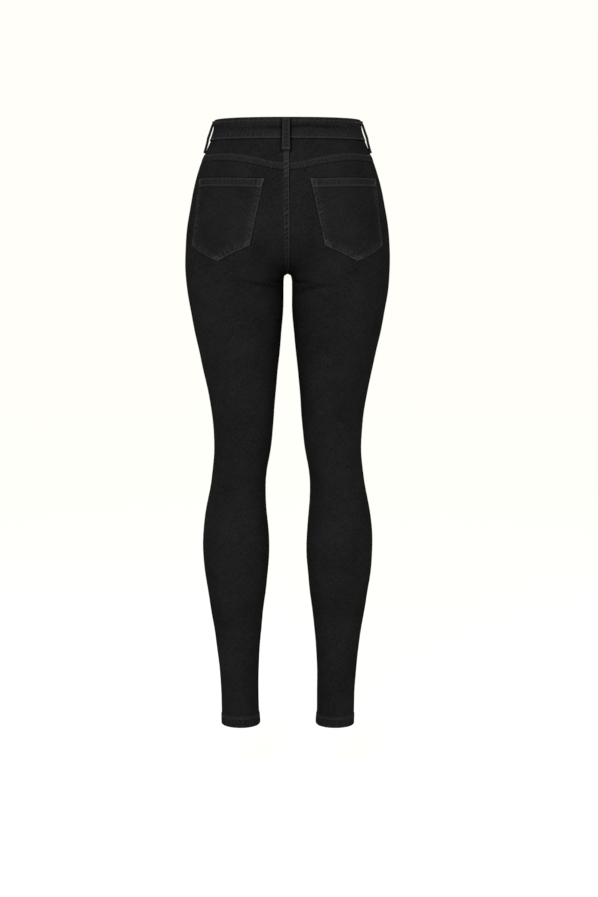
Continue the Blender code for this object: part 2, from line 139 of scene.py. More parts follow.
# %% [markdown]
# ## One smooth surface
# Between the sections the cloth is a smooth skin. A natural spline joins the measures down the
# leg, and a rounded oval turns each set of them into a ring. Above the crotch one oval goes round
# both hips, below it each leg has its own, and a share between 0 and 1 passes from one to the
# other. It falls fast at the centre seam, so the seat gets its cleft, and gently at the sides.

# %% Splines through the sections


def natural_spline(xs, ys):
    """Returns a function through the points that bends smoothly from one to the next."""
    xs, ys = np.array(xs), np.array(ys)
    gaps = np.diff(xs)
    count = len(xs)
    matrix = np.eye(count)
    right = np.zeros(count)
    for k in range(1, count - 1):
        matrix[k, k - 1 : k + 2] = gaps[k - 1], 2 * (gaps[k - 1] + gaps[k]), gaps[k]
        slopes = (ys[k + 1] - ys[k]) / gaps[k] - (ys[k] - ys[k - 1]) / gaps[k - 1]
        right[k] = 6 * slopes
    bend = np.linalg.solve(matrix, right)

    def value(x):
        """The curve's height at x."""
        k = np.clip(np.searchsorted(xs, x) - 1, 0, count - 2)
        b = (x - xs[k]) / gaps[k]
        a = 1 - b
        curve = (a**3 - a) * bend[k] + (b**3 - b) * bend[k + 1]
        return a * ys[k] + b * ys[k + 1] + curve * gaps[k] ** 2 / 6

    return value


COLUMNS = ("side", "inner", "front", "back", "seam")
SPLINES = {
    c: natural_spline([s.down for s in SECTIONS], [getattr(s, c) for s in SECTIONS]) for c in COLUMNS
}
print("half width at the knee", round(float(SPLINES["side"](KNEE_DOWN)), 4))

# %% The skin of one half


def smooth_step(x):
    """Rises from 0 to 1 with soft ends while x goes from 0 to 1."""
    x = np.clip(x, 0, 1)
    return x * x * (3 - 2 * x)


def oval(angle, wide, deep, power):
    """A point of a rounded oval at this angle from +Y towards +X."""
    east, north = np.sin(angle), np.cos(angle)
    radius = (np.abs(east / wide) ** power + np.abs(north / deep) ** power) ** (-1 / power)
    return radius * east, radius * north


def torso_share(turn, down):
    """1 where one oval goes round both hips, 0 where the leg has its own."""
    along = np.clip((down - SPLIT_STARTS) / (CROTCH_DOWN - SPLIT_STARTS), 0, None)
    left = 1 - along**SPLIT_POWER
    soft = SPLIT_SOFTNESS * smooth_step(np.minimum(turn, 1 - turn) / SOFT_BY_TURN)
    share = np.sqrt(np.maximum(left + np.sqrt(left**2 + soft**4), 0) / 2)
    most = np.sqrt((1 + np.sqrt(1 + soft**4)) / 2)
    fade = 1 - smooth_step((down - CROTCH_DOWN) / (LEG_DOWN - CROTCH_DOWN))
    return share / most * fade


def legs_apart(turn, down):
    """How far the inner leg has opened, from 0 to 1: tightly rounded at the seam, soft beside it."""
    corner = np.clip((down - CROTCH_DOWN) / CROTCH_CORNER, 0, 1)
    tight = (1 - (1 - corner) ** CORNER_POWER) ** (1 / CORNER_POWER)
    soft = smooth_step((down - CROTCH_DOWN) / (2 * SOFT_OPENING) + 0.5)
    beside = smooth_step(np.minimum(turn, 1 - turn) / BESIDE_SEAM)
    return tight + (soft - tight) * beside


def surface(turn, down):
    """The outer face of the wearer's left half, smooth, before creases and seams."""
    turn, down = np.broadcast_arrays(np.asarray(turn, float), np.asarray(down, float))
    side, inner, front, back, seam = (SPLINES[c](down) for c in COLUMNS)
    deep = np.where(np.cos(np.pi * turn) >= 0, back - seam, seam - front)
    torso_x, torso_y = oval(np.pi * turn, side, deep, TORSO_POWER)
    inner = inner * legs_apart(turn, down)
    leg_x, leg_y = oval(np.pi * (2 * turn - 0.5), (side - inner) / 2, deep, LEG_POWER)
    share = torso_share(turn, down)
    x = share * torso_x + (1 - share) * (leg_x + (side + inner) / 2)
    y = share * torso_y + (1 - share) * leg_y + seam
    to_front = (1 - np.cos(2 * np.pi * (np.maximum(turn, 0.5) - 0.5))) / 2
    dip = FRONT_DIP * to_front * (1 - smooth_step(down / DIP_ENDS))
    return np.stack([x, y, BAND_TOP - down - dip], -1)


def normal(turn, down):
    """The outward direction at a place on the cloth."""
    turn_step, down_step = 0.004, 0.002
    turn = np.clip(turn, turn_step, 1 - turn_step)
    round_it = surface(turn + turn_step, down) - surface(turn - turn_step, down)
    downwards = surface(turn, down + down_step) - surface(turn, down - down_step)
    out = np.cross(round_it, downwards)
    return out / np.linalg.norm(out, axis=-1, keepdims=True)


def turn_per_metre(turn, down):
    """How much turn one metre of cloth takes up here."""
    step = 0.002
    turn = np.clip(turn, step, 1 - step)
    span = surface(turn + step, down) - surface(turn - step, down)
    return 2 * step / np.linalg.norm(span, axis=-1)


def lengths_along(points):
    """How far along a line each of its points is."""
    steps = np.linalg.norm(np.diff(points, axis=0), axis=1)
    return np.concatenate([[0], np.cumsum(steps)])


def mirrored(point, sign):
    """The point, moved to the other half of the garment where the sign is -1."""
    same = np.ones_like(sign)
    return point * np.stack([sign, same, same], -1)


girth = 2 * lengths_along(surface(np.linspace(0, 1, 200), HIP_DOWN))[-1]
print("round the hips", round(float(girth), 3), "m")

# %% [markdown]
# ## Creases and slack
# Worn stretch denim is nearly smooth. What breaks it are a few soft troughs under the seat and at
# the crotch, fainter ones behind the knees and over the ankles, and a slack so shallow that only
# the light finds it. Each trough is a row in a table, so none repeats another, and the left leg
# differs from the right. The cloth only ever sinks, so the outline stays where the CAD has it.

# %% The troughs, one row each
Crease = namedtuple("Crease", "leg turn down reach width depth lean")
CREASES = (
    Crease("left", 0.155, 0.2652, 0.070, 0.0027, 0.0013, 0.0058),
    Crease("left", 0.120, 0.2690, 0.060, 0.0085, 0.0010, 0.0060),
    Crease("left", 0.095, 0.2592, 0.042, 0.0030, 0.0016, 0.0004),
    Crease("left", 0.170, 0.2840, 0.050, 0.0070, 0.0008, 0.0040),
    Crease("right", 0.165, 0.2702, 0.070, 0.0028, 0.0013, 0.0064),
    Crease("right", 0.110, 0.2600, 0.050, 0.0030, 0.0016, -0.0012),
    Crease("right", 0.120, 0.2740, 0.060, 0.0085, 0.0010, 0.0070),
    Crease("right", 0.230, 0.2570, 0.060, 0.0050, 0.0007, 0.0050),
    Crease("left", 0.900, 0.262, 0.055, 0.0085, 0.0018, 0.010),
    Crease("right", 0.905, 0.258, 0.050, 0.0085, 0.0018, 0.011),
    Crease("left", 0.240, 0.556, 0.090, 0.0070, 0.0007, 0.004),
    Crease("left", 0.330, 0.574, 0.070, 0.0060, 0.0006, -0.003),
    Crease("right", 0.260, 0.562, 0.080, 0.0070, 0.0008, 0.005),
    Crease("right", 0.180, 0.579, 0.060, 0.0055, 0.0005, 0.002),
    Crease("left", 0.760, 0.934, 0.120, 0.0060, 0.0006, 0.004),
    Crease("right", 0.700, 0.941, 0.110, 0.0065, 0.0007, 0.003),
    Crease("left", 0.860, 0.236, 0.060, 0.0070, 0.0010, 0.014),
    Crease("right", 0.855, 0.240, 0.055, 0.0070, 0.0010, 0.013),
)
SLACK = 0.00030
MIRROR = {"left": np.array((1, 1, 1)), "right": np.array((-1, 1, 1))}


def crease_depth(leg, turn, down, widest=1.0):
    """How far the cloth sinks in the troughs here, counting only those up to this width."""
    depth = np.zeros(np.broadcast(turn, down).shape)
    for crease in CREASES:
        if crease.leg != leg or crease.width > widest:
            continue
        along = (turn - crease.turn) / crease.reach
        middle = crease.down - crease.lean * along * np.sign(0.5 - crease.turn)
        across = (down - middle) / crease.width
        depth += crease.depth * np.exp(-(along**2) - across**2)
    return depth


def slack(leg, turn, down):
    """Shallow unevenness, in and out, over a hand's breadth."""
    seed = 1.3 if leg == "left" else 4.9
    round_leg = np.sin(2 * np.pi * (2.6 * turn + 3.1 * down) + seed)
    down_leg = np.sin(2 * np.pi * (9.7 * down - 1.4 * turn) + 2.2 * seed)
    small = np.sin(2 * np.pi * (17.3 * down + 5.2 * turn) + 3.7 * seed)
    return SLACK * (round_leg * down_leg + 0.4 * small - 0.6)


def cloth(leg, turn, down, out=0.0):
    """A point this far out from the cloth's face, on the wearer's left or right."""
    lift = np.asarray(out) - crease_depth(leg, turn, down) + slack(leg, turn, down)
    point = surface(turn, down) + normal(turn, down) * lift[..., None]
    return point * MIRROR[leg]


print(len(CREASES), "troughs, the deepest", max(c.depth for c in CREASES) * 1000, "mm")

# %% [markdown]
# ## How sewing shapes cloth
# A row of lockstitch pulls the layers down into a groove. Between two rows the cloth has nowhere
# to go, so it ropes: short ridges, all leaning one way and never quite evenly spaced. Abrasion
# then greys the ridges. One function gives both the height and the wear of such a seam, and every
# seam on the garment uses it with its own pitch, slant and seed. A fold or an edge rubs in one
# soft band, so each such band is a named row: how rubbed it is, where its middle is and how far
# it reaches. Below 0 a row is painted shade, darker in a groove, a hollow or under an edge.

# %% Grooves, puckers and wear
GROOVE = 0.00034
GROOVE_HALF = 0.0007
PUCKER = 0.00036
EDGE_ROUND = 0.0007
ROOM_WEAR = 0.08
CREST_WEAR = 0.60
DIP_WEAR = 0.32
RubAndShade = namedtuple("RubAndShade", "wear middle half_width")


def bell(x, middle, half_width):
    """A smooth bump, 1 at its middle."""
    return np.exp(-(((x - middle) / half_width) ** 2))


def rub_and_shade(x, band):
    """How worn one soft band is, or its painted shade where the row is below 0."""
    return band.wear * bell(x, band.middle, band.half_width)


def between(x, low, high, soft):
    """1 between low and high and 0 outside, with soft ends."""
    return smooth_step((x - low) / soft + 0.5) * smooth_step((high - x) / soft + 0.5)


def ripple(along, pitch, seed):
    """An uneven wave whose crests wander and differ in height."""
    rate = 2 * np.pi * along / pitch
    wander = 0.9 * np.sin(rate / 2.7 + seed) + 0.6 * np.sin(rate / 4.3 + 2.1 * seed)
    height = 0.66 + 0.20 * np.sin(rate / 3.6 + 1.7 * seed) + 0.14 * np.sin(rate / 9.1 + 3.1 * seed)
    return height * np.sin(rate + wander)


def sewn_relief(across, along, rows, pitch, slant, seed, strength=1.0, soft=0.0020):
    """(height, wear) of cloth between two rows of stitches."""
    low, high = rows
    grooves = GROOVE * (bell(across, low, GROOVE_HALF) + bell(across, high, GROOVE_HALF))
    room = between(across, low, high, soft)
    wave = ripple(along + slant * across, pitch, seed)
    height = strength * PUCKER * room * wave - grooves
    crests, dips = CREST_WEAR * np.maximum(wave, 0), DIP_WEAR * np.minimum(wave, 0)
    wear = strength * room * (ROOM_WEAR + crests + dips)
    return height, wear


print("puckers stand", PUCKER * 1000, "mm proud")

# %% [markdown]
# ## A sheet from a grid
# Every cloth piece starts as Blender's grid. Its corners are known, so each vertex finds its
# place from its row and column, as thread does in a loom. The sheet then gets a UV map in metres
# for the weave to follow and two values at each vertex: how rubbed it is, with painted shade
# below 0, and how far it is from the edge of a piece lying over it, which paints shade beside
# that edge. Solidify gives it real thickness and is applied, so that the piece is one closed
# cloth wall.

# %% Helpers that make a cloth piece
FAR_GAP = 0.010
SMOOTH_ANGLE = 55


def deselect_all():
    """Leaves edit mode and deselects everything."""
    if bpy.context.mode != "OBJECT":
        bpy.ops.object.mode_set(mode="OBJECT")
    bpy.ops.object.select_all(action="DESELECT")


def arc_lengths(points, axis):
    """Distance along the rows or columns of a grid of points, measured from the middle."""
    steps = np.linalg.norm(np.diff(points, axis=axis), axis=-1)
    shape = list(points.shape[:2])
    shape[axis] = 1
    total = np.concatenate([np.zeros(shape), np.cumsum(steps, axis=axis)], axis=axis)
    return total - np.take(total, [points.shape[axis] // 2], axis=axis)


def weave_map(mesh, points, index):
    """A UV map whose units are metres of cloth, straight with the grain."""
    across = arc_lengths(points, 1)
    along = arc_lengths(points, 0)
    along = np.broadcast_to(along[:, [points.shape[1] // 2]], along.shape)
    places = np.stack([across, -along], -1).reshape(-1, 2)[index]
    corners = np.empty(len(mesh.loops), np.int32)
    mesh.loops.foreach_get("vertex_index", corners)
    mesh.uv_layers[0].name = "weave"
    mesh.uv_layers[0].data.foreach_set("uv", places[corners].astype(np.float32).ravel())


def point_values(piece, name, values, index):
    """Stores a number at each vertex under this name."""
    attribute = piece.data.attributes.new(name, "FLOAT", "POINT")
    attribute.data.foreach_set("value", values.reshape(-1)[index].astype(np.float32))


def cloth_piece(name, points, out_way, wear=None, shade_gap=None, thick=DENIM):
    """A closed cloth wall through a grid of points, thickened away from out_way."""
    deselect_all()
    rows, columns = points.shape[0] - 1, points.shape[1] - 1
    bpy.ops.mesh.primitive_grid_add(x_subdivisions=columns, y_subdivisions=rows, size=1)
    piece = bpy.context.object
    piece.name = piece.data.name = name
    flat = np.empty(len(piece.data.vertices) * 3, np.float32)
    piece.data.vertices.foreach_get("co", flat)
    flat = flat.reshape(-1, 3)
    row = np.rint((0.5 - flat[:, 1]) * rows).astype(int)
    column = np.rint((flat[:, 0] + 0.5) * columns).astype(int)
    index = row * (columns + 1) + column
    placed = points.reshape(-1, 3)[index]
    piece.data.vertices.foreach_set("co", placed.astype(np.float32).ravel())
    weave_map(piece.data, points, index)
    plain = np.zeros(points.shape[:2])
    # how worn each vertex is, with painted shade where the value is below 0
    point_values(piece, "wear", plain if wear is None else wear, index)
    # distance from the edge of a piece lying over, which sets the painted shade beside it
    point_values(piece, "shade_gap", plain + FAR_GAP if shade_gap is None else shade_gap, index)
    piece.data.update()
    middle = len(piece.data.polygons) // 2 + columns // 2
    if piece.data.polygons[middle].normal.dot(out_way) < 0:
        bpy.ops.object.mode_set(mode="EDIT")
        bpy.ops.mesh.select_all(action="SELECT")
        bpy.ops.mesh.flip_normals()
        bpy.ops.object.mode_set(mode="OBJECT")
    wall = piece.modifiers.new("cloth", "SOLIDIFY")
    wall.thickness = thick
    wall.offset = -1
    wall.use_quality_normals = True
    bpy.ops.object.modifier_apply(modifier="cloth")
    bpy.ops.object.shade_smooth_by_angle(angle=math.radians(SMOOTH_ANGLE))
    return piece


def declare(piece, points, held, *nodes, cut_width=0.0):
    """Attaches the piece to the root in place of these CAD nodes, which it hides. Held is not used, and the
    width worked out from points and cut_width is not used either.
    """
    width = float(np.linalg.norm(np.diff(points, axis=1), axis=-1).sum(1).max())
    width = max(width, cut_width)
    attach(piece, "root")
    if nodes:
        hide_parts(*nodes)


# %% [markdown]
# ## The pocket pattern
# A patch pocket is a five-sided piece, cut flat. Its corners are given in the cutter's measures,
# how far round the cloth from the centre back and how far down, and a table of arc lengths finds
# their place on the seat. The panel below needs the outline too, because shade is painted on it
# right beside the pocket's edge.

# %% The pocket's flat shape
POCKET_TOP = 0.0945
POCKET_INNER_DROP = 0.0030
POCKET_INNER_TOP = 0.0365
POCKET_OUTER_TOP = 0.1655
POCKET_INNER_LOW = 0.0595
POCKET_OUTER_LOW = 0.1735
POCKET_CORNER_DOWN = 0.2020
POCKET_TIP = 0.1185
POCKET_TIP_DOWN = 0.2275
POCKET_CORNERS = np.array(
    [
        (POCKET_INNER_TOP, POCKET_TOP + POCKET_INNER_DROP),
        (POCKET_INNER_LOW, POCKET_CORNER_DOWN),
        (POCKET_TIP, POCKET_TIP_DOWN),
        (POCKET_OUTER_LOW, POCKET_CORNER_DOWN),
        (POCKET_OUTER_TOP, POCKET_TOP),
    ]
)
print("pocket", round(POCKET_OUTER_TOP - POCKET_INNER_TOP, 3), "m wide at the top")

# %% A table of arc lengths on the seat
SEAT_DOWNS = np.linspace(0.032, 0.245, 86)
SEAT_TURNS = np.linspace(0, 0.5, 90)
BEFORE_END = 1.001

seat_steps = np.linalg.norm(np.diff(surface(SEAT_TURNS[None], SEAT_DOWNS[:, None]), axis=1), axis=-1)
SEAT_REACH = np.concatenate([np.zeros((len(SEAT_DOWNS), 1)), np.cumsum(seat_steps, axis=1)], axis=1)


def seat_row(down):
    """The table's row just above this height, and the share of the way to the next row."""
    row = (down - SEAT_DOWNS[0]) / (SEAT_DOWNS[1] - SEAT_DOWNS[0])
    row = np.clip(row, 0, len(SEAT_DOWNS) - BEFORE_END)
    low = row.astype(int)
    return low, row - low


def reach_at(turn, down):
    """How far round the cloth from the centre back this place is."""
    low, part = seat_row(down)
    column = np.clip(turn / SEAT_TURNS[1], 0, len(SEAT_TURNS) - BEFORE_END)
    left = column.astype(int)
    share = column - left
    above = SEAT_REACH[low, left] * (1 - share) + SEAT_REACH[low, left + 1] * share
    below = SEAT_REACH[low + 1, left] * (1 - share) + SEAT_REACH[low + 1, left + 1] * share
    return above * (1 - part) + below * part


def turn_at(distance, down):
    """The turn that lies this far round the cloth from the centre back."""
    low, part = seat_row(down)
    out = np.empty(np.shape(distance))
    for place in np.ndindex(out.shape):
        row = SEAT_REACH[low[place]] * (1 - part[place]) + SEAT_REACH[low[place] + 1] * part[place]
        out[place] = np.interp(distance[place], row, SEAT_TURNS)
    return out


print("from the centre back to the side seam", round(float(SEAT_REACH[0, -1]), 3), "m under the band")

# %% How far inside the pocket a place is


def edge_distances(across, down):
    """For each side of the pocket, how far inside it a point is, and how far along it."""
    inside, along = [], []
    start = 0.0
    for a, b in zip(POCKET_CORNERS[:-1], POCKET_CORNERS[1:]):
        way = (b - a) / np.linalg.norm(b - a)
        east, south = across - a[0], down - a[1]
        inside.append(east * way[1] - south * way[0])
        along.append(start + east * way[0] + south * way[1])
        start += np.linalg.norm(b - a)
    return np.array(inside), np.array(along)


def pocket_top(across):
    """How far down the pocket's upper edge is."""
    share = (across - POCKET_INNER_TOP) / (POCKET_OUTER_TOP - POCKET_INNER_TOP)
    return POCKET_TOP + POCKET_INNER_DROP * (1 - np.clip(share, 0, 1)) ** 2


def inside_pocket(across, down):
    """How far inside the pocket's outline a place is, below 0 outside it."""
    sides = edge_distances(across, down)[0]
    return np.minimum(sides.min(0), down - pocket_top(across))


sides_round = lengths_along(POCKET_CORNERS)[-1]
print("round the pocket's sides and tip", round(float(sides_round), 3), "m")

# %% Where the centre fell and the belt loops lie
SEAT_FELL = (-0.0026, 0.0078)
SEAT_LEAN = 0.0016
LOOP_WIDTH = 0.012
LOOP_LENGTH = 0.052
LOOP_STARTS = 0.0008
BACK_LOOP_ASIDE = 0.0020
# these distances from the belt loops set the painted shade beside them
LOOP_GAP_SCALE = 0.40
SIDE_GAP_SCALE = 0.13


def fell_shift(downs, front):
    """How far the back fell leans to the wearer's right on its way down."""
    share = smooth_step((downs - BAND_HEIGHT) / (CROTCH_DOWN - BAND_HEIGHT))
    return 0 if front else -SEAT_LEAN * share


def back_loop_gap(across, down):
    """Distance from the belt loop at the centre back, across being to the wearer's left."""
    beside = np.abs(across - BACK_LOOP_ASIDE) - LOOP_WIDTH / 2
    return LOOP_GAP_SCALE * np.maximum(beside, down - LOOP_STARTS - LOOP_LENGTH)


def side_loop_gap(from_side, down):
    """Distance from the belt loop over a side seam, whose shade reaches further round."""
    beside = np.abs(from_side) - LOOP_WIDTH / 2
    return SIDE_GAP_SCALE * np.maximum(beside, down - LOOP_STARTS - LOOP_LENGTH)


print("the centre fell is", round(SEAT_FELL[1] - SEAT_FELL[0], 4), "m wide")

# %% [markdown]
# ## Leg panels
# Each leg is two panels, a front and a wider back, joined at the inseam and the side seam. The
# side seam is a plain one and shows as a soft valley. The hem is turned up: the cloth runs down the
# outside, folds under and goes back up inside, so the sheet's rows do the same. One row of
# stitches holds it, and the doubled cloth puckers upright between that row and the fold.

# %% Rows and columns of a leg panel
EDGE_COLUMNS = 6
PANEL_COLUMNS = 56
EDGE_TURN = 0.016
SEAT_ROWS = 76
LEG_ROWS = 132
LEG_ROW_CROWDING = 1.12
HEM_ROWS = 12
HEM_FOLD = 0.0012
HEM_SLOPE = 0.0016
SIDE_BELOW_CROTCH = 0.012
CURVE_SAMPLES = 900


def panel_columns(back):
    """Turns of a panel's columns, closer together at both seams."""
    edge = np.linspace(0, EDGE_TURN, EDGE_COLUMNS + 1)
    middle = np.linspace(EDGE_TURN, 0.5 - EDGE_TURN, PANEL_COLUMNS + 1)
    turns = np.concatenate([edge, middle[1:-1], 0.5 - edge[::-1]])
    return turns if back else turns + 0.5


def yoke_line(turn):
    """How far down the yoke's lower edge is."""
    spread = np.clip(np.sin(np.pi * np.minimum(turn, 0.5)) * YOKE_SPREAD, 0, 1)
    return YOKE_SIDE_DOWN + YOKE_DIP * (1 + np.cos(np.pi * spread)) / 2


def seam_downs(first, last, front, count):
    """Downs evenly spaced along the centre seam's curve, and its length from first to last."""
    fine = np.linspace(first, last, CURVE_SAMPLES)
    length = lengths_along(surface(1.0 if front else 0.0, fine))
    return np.interp(np.linspace(0, length[-1], count + 1), length, fine), length[-1]


def rows_below(first):
    """Downs from the crotch to the fold of the hem."""
    share = np.linspace(0, 1, LEG_ROWS + 1)[1:] ** LEG_ROW_CROWDING
    hem_top = HEM_DOWN - HEM_BAND
    leg_rows = first + share * (hem_top - 2 * HEM_SLOPE - first)
    hem = np.linspace(hem_top - HEM_SLOPE, HEM_DOWN - HEM_FOLD, HEM_ROWS + 1)
    return np.concatenate([leg_rows, hem])


def panel_grid(back, first):
    """Turns and downs of a panel. First gives its top edge for each turn."""
    turns = panel_columns(back)
    from_middle = turns if back else 1 - turns
    rise = seam_downs(float(first[0 if back else -1]), CROTCH_DOWN, not back, SEAT_ROWS)[0]
    middle = np.concatenate([rise, rows_below(CROTCH_DOWN)])
    side_turn_down = CROTCH_DOWN + SIDE_BELOW_CROTCH
    top = np.linspace(float(first[-1 if back else 0]), side_turn_down, SEAT_ROWS + 1)
    side = np.concatenate([top, rows_below(side_turn_down)])
    mix = smooth_step(from_middle / 0.5)
    downs = middle[:, None] * (1 - mix) + side[:, None] * mix
    fade = 1 - smooth_step(np.arange(len(middle)) / SEAT_ROWS)
    return np.broadcast_to(turns, downs.shape).copy(), downs + fade[:, None] * (first - downs[0])


print("rows in a panel", SEAT_ROWS + 1 + len(rows_below(CROTCH_DOWN)))

# %% The panel's seams and hem
SEAM_VALLEY = 0.00055
SEAM_VALLEY_HALF = 0.0009
SEAM_PUCKER = 0.00013
SEAM_PUCKER_HALF = 0.0050
SEAM_PITCH = 0.0125
SEAM_WEAR = 0.22
HEM_PROUD = 0.0009
HEM_STITCH = 0.0022
HEM_PITCH = 0.0062
HEM_PUCKER = 0.00020
ABOVE_HEM_HALF = 0.0045
HEM_ROOM_WEAR = 0.05
HEM_CREST_WEAR = 0.20
HEM_TOP_RUB = RubAndShade(0.55, 0.0, 0.0007)
HEM_FOLD_RUB = RubAndShade(0.40, HEM_BAND, 0.0012)


def seam_relief(turns, downs):
    """(height, wear) beside the side seam and the inseam."""
    per_metre = turn_per_metre(turns, downs)
    to_side = (turns - 0.5) / per_metre
    to_inner = np.minimum(turns, 1 - turns) / per_metre
    valley = bell(to_side, 0, SEAM_VALLEY_HALF) + bell(to_inner, 0, SEAM_VALLEY_HALF)
    room = bell(to_side, 0, SEAM_PUCKER_HALF) + bell(to_inner, 0, SEAM_PUCKER_HALF)
    wave = ripple(downs, SEAM_PITCH, 2.4)
    height = SEAM_PUCKER * room * wave - SEAM_VALLEY * valley
    return height, SEAM_WEAR * room * np.clip(wave, 0, 1)


def hem_relief(leg, turns, downs):
    """(height, wear) of the hem band: proud, stitched near its top and puckered."""
    below_top = downs - (HEM_DOWN - HEM_BAND)
    round_hem = turns / turn_per_metre(0.25, HEM_DOWN)
    wave = ripple(round_hem, HEM_PITCH, 0.7 if leg == "left" else 3.8)
    room = between(below_top, HEM_STITCH, HEM_BAND + 0.002, 0.003)
    above = bell(below_top, HEM_STITCH, ABOVE_HEM_HALF) * (below_top < HEM_STITCH)
    proud = HEM_PROUD * smooth_step((below_top + HEM_SLOPE) / HEM_SLOPE)
    groove = 0.8 * GROOVE * bell(below_top, HEM_STITCH, GROOVE_HALF)
    height = proud - groove + HEM_PUCKER * wave * (room + 0.6 * above)
    edges = rub_and_shade(below_top, HEM_TOP_RUB) + rub_and_shade(below_top, HEM_FOLD_RUB)
    return height, room * (HEM_ROOM_WEAR + HEM_CREST_WEAR * wave) + edges


print("the hem's band is", HEM_BAND * 1000, "mm deep")

# %% Where a panel is tucked, creased and turned up
BAND_TUCK = 0.0040
TUCK_SUNK = 0.0004
TUCK_SOFT = 0.0008
SHARP_CREASE = 0.0040
# painted shade in the sharp creases, per metre of their depth
CREASE_PAINTED_SHADE = 215
FOLD_ROWS = 5
TURN_UP_ROWS = 6


def keep_apart(points, leg):
    """Keeps a panel on its own side of the centre plane."""
    sign = MIRROR[leg][0]
    points[..., 0] = sign * np.maximum(sign * points[..., 0], SEAM_GAP)
    return points


def tuck(downs):
    """How far the edge that lies inside the waistband is sunk."""
    return TUCK_SUNK * smooth_step((BAND_HEIGHT + TUCK_SOFT - downs) / TUCK_SOFT)


def panel_place(leg, turns, downs, out=0.0):
    """A point on a leg panel with its seams, creases and hem, and how worn it is, with painted shade in the
    sharp creases.
    """
    seams, seam_wear = seam_relief(turns, downs)
    hem, hem_wear = hem_relief(leg, turns, downs)
    # the sharp creases get painted shade
    painted_crease_shade = CREASE_PAINTED_SHADE * crease_depth(leg, turns, downs, SHARP_CREASE)
    lift = out + seams + hem - tuck(downs)
    return cloth(leg, turns, downs, lift), seam_wear + hem_wear - painted_crease_shade


def turned_hem(leg, turns):
    """The rows past the fold: round its edge, then up the inside."""
    bottom = HEM_DOWN - HEM_FOLD
    angles = np.linspace(0, np.pi, FOLD_ROWS + 2)[1:]
    fold_outs = HEM_PROUD - HEM_FOLD * (1 - np.cos(angles))
    up = np.linspace(bottom, HEM_DOWN - HEM_BAND, TURN_UP_ROWS + 1)[1:]
    downs = np.concatenate([bottom + HEM_FOLD * np.sin(angles), up])[:, None]
    outs = np.concatenate([fold_outs, np.full(TURN_UP_ROWS, HEM_PROUD - 2 * HEM_FOLD)])[:, None]
    turns, downs = np.broadcast_arrays(turns, downs)
    return cloth(leg, turns, downs, np.broadcast_to(outs, downs.shape))


print("the hem turns up through", FOLD_ROWS + TURN_UP_ROWS + 1, "rows")

# %% How near the pieces are that lie over a panel, for the painted shade beside their edges
YOKE_SOFT = 0.0011
BAND_SOFT = 0.0006
FLY_DOWN = 0.163
FLY_WIDTH = 0.034
FLY_TURN_IN = 0.030
FLY_TURN = 0.98
FLY_RUB = RubAndShade(0.45, -0.0020, 0.0036)


def fold_gap(leg, turns, downs):
    """Distance from the fold of the centre back fell, which lies on the wearer's right."""
    if leg == "left":
        return np.full_like(downs, FAR_GAP)
    return reach_at(turns, downs) + SEAT_FELL[0] + fell_shift(downs, False)


def panel_gap(leg, turns, downs, back):
    """Distance from the nearest edge of the pieces that lie over a panel."""
    if not back:
        beside_loop = side_loop_gap((turns - 0.5) / turn_per_metre(0.5, downs), downs)
        return np.minimum(np.minimum(downs - BAND_HEIGHT + BAND_SOFT, beside_loop), FAR_GAP)
    reach = reach_at(turns, downs)
    shade_gap = np.minimum(downs - yoke_line(turns) + YOKE_SOFT, -inside_pocket(reach, downs))
    shade_gap = np.minimum(shade_gap, fold_gap(leg, turns, downs))
    return np.clip(np.where(downs > SEAT_DOWNS[-1], FAR_GAP, shade_gap), -FAR_GAP, FAR_GAP)


def fly_fade(turns, downs):
    """Wear along the J of stitches beside the fly."""
    aside = (1 - turns) / turn_per_metre(FLY_TURN, downs)
    below = np.maximum(downs - FLY_DOWN + FLY_TURN_IN, 0)
    past = (np.hypot(aside / FLY_WIDTH, below / FLY_TURN_IN) - 1) * FLY_WIDTH
    return rub_and_shade(past, FLY_RUB)


print("the fly ends", FLY_DOWN, "m down")

# %% Cut the four leg panels
FELL_TUCK = 0.0080


def leg_panel(name, leg, back):
    """One leg panel from the yoke or the band down to the turned hem."""
    turns = panel_columns(back)
    first = yoke_line(turns) - FELL_TUCK if back else np.full_like(turns, BAND_HEIGHT - BAND_TUCK)
    turns, downs = panel_grid(back, first)
    per_metre = turn_per_metre(turns[:, [0, -1]], downs[:, [0, -1]])
    turns[:, 0] += SEAM_GAP * per_metre[:, 0]
    turns[:, -1] -= SEAM_GAP * per_metre[:, 1]
    points, wear = panel_place(leg, turns, downs)
    if leg == "left" and not back:
        wear = wear + fly_fade(turns, downs)
    hem = turned_hem(leg, turns[-1])
    points = keep_apart(np.concatenate([points, hem]), leg)
    wear = np.concatenate([wear, np.zeros(hem.shape[:2])])
    shade_gap = np.concatenate([panel_gap(leg, turns, downs, back), np.full(hem.shape[:2], FAR_GAP)])
    middle = len(turns) // 2, turns.shape[1] // 2
    facing = normal(turns[middle], downs[middle]) * MIRROR[leg]
    piece = cloth_piece(name, points, facing, wear, shade_gap)
    declare(piece, points, "stretched", name)
    return piece


panels = {}
for leg in ("left", "right"):
    for back in (True, False):
        name = f"{'back' if back else 'front'}_leg_{leg}"
        panels[name] = leg_panel(name, leg, back)
print("triangles in a panel", sum(len(p.vertices) - 2 for p in panels["back_leg_left"].data.polygons))

# %% [markdown]
# ## Yoke
# The yoke is the pointed strip under the band that shapes the seat without darts. Its lower edge
# is folded and laid over the leg panels, with two rows of stitches about eight millimetres apart.
# That makes it four layers thick, so its edge is crisp and throws a thin shadow, and that shadow
# is also painted darker on the panels below it.

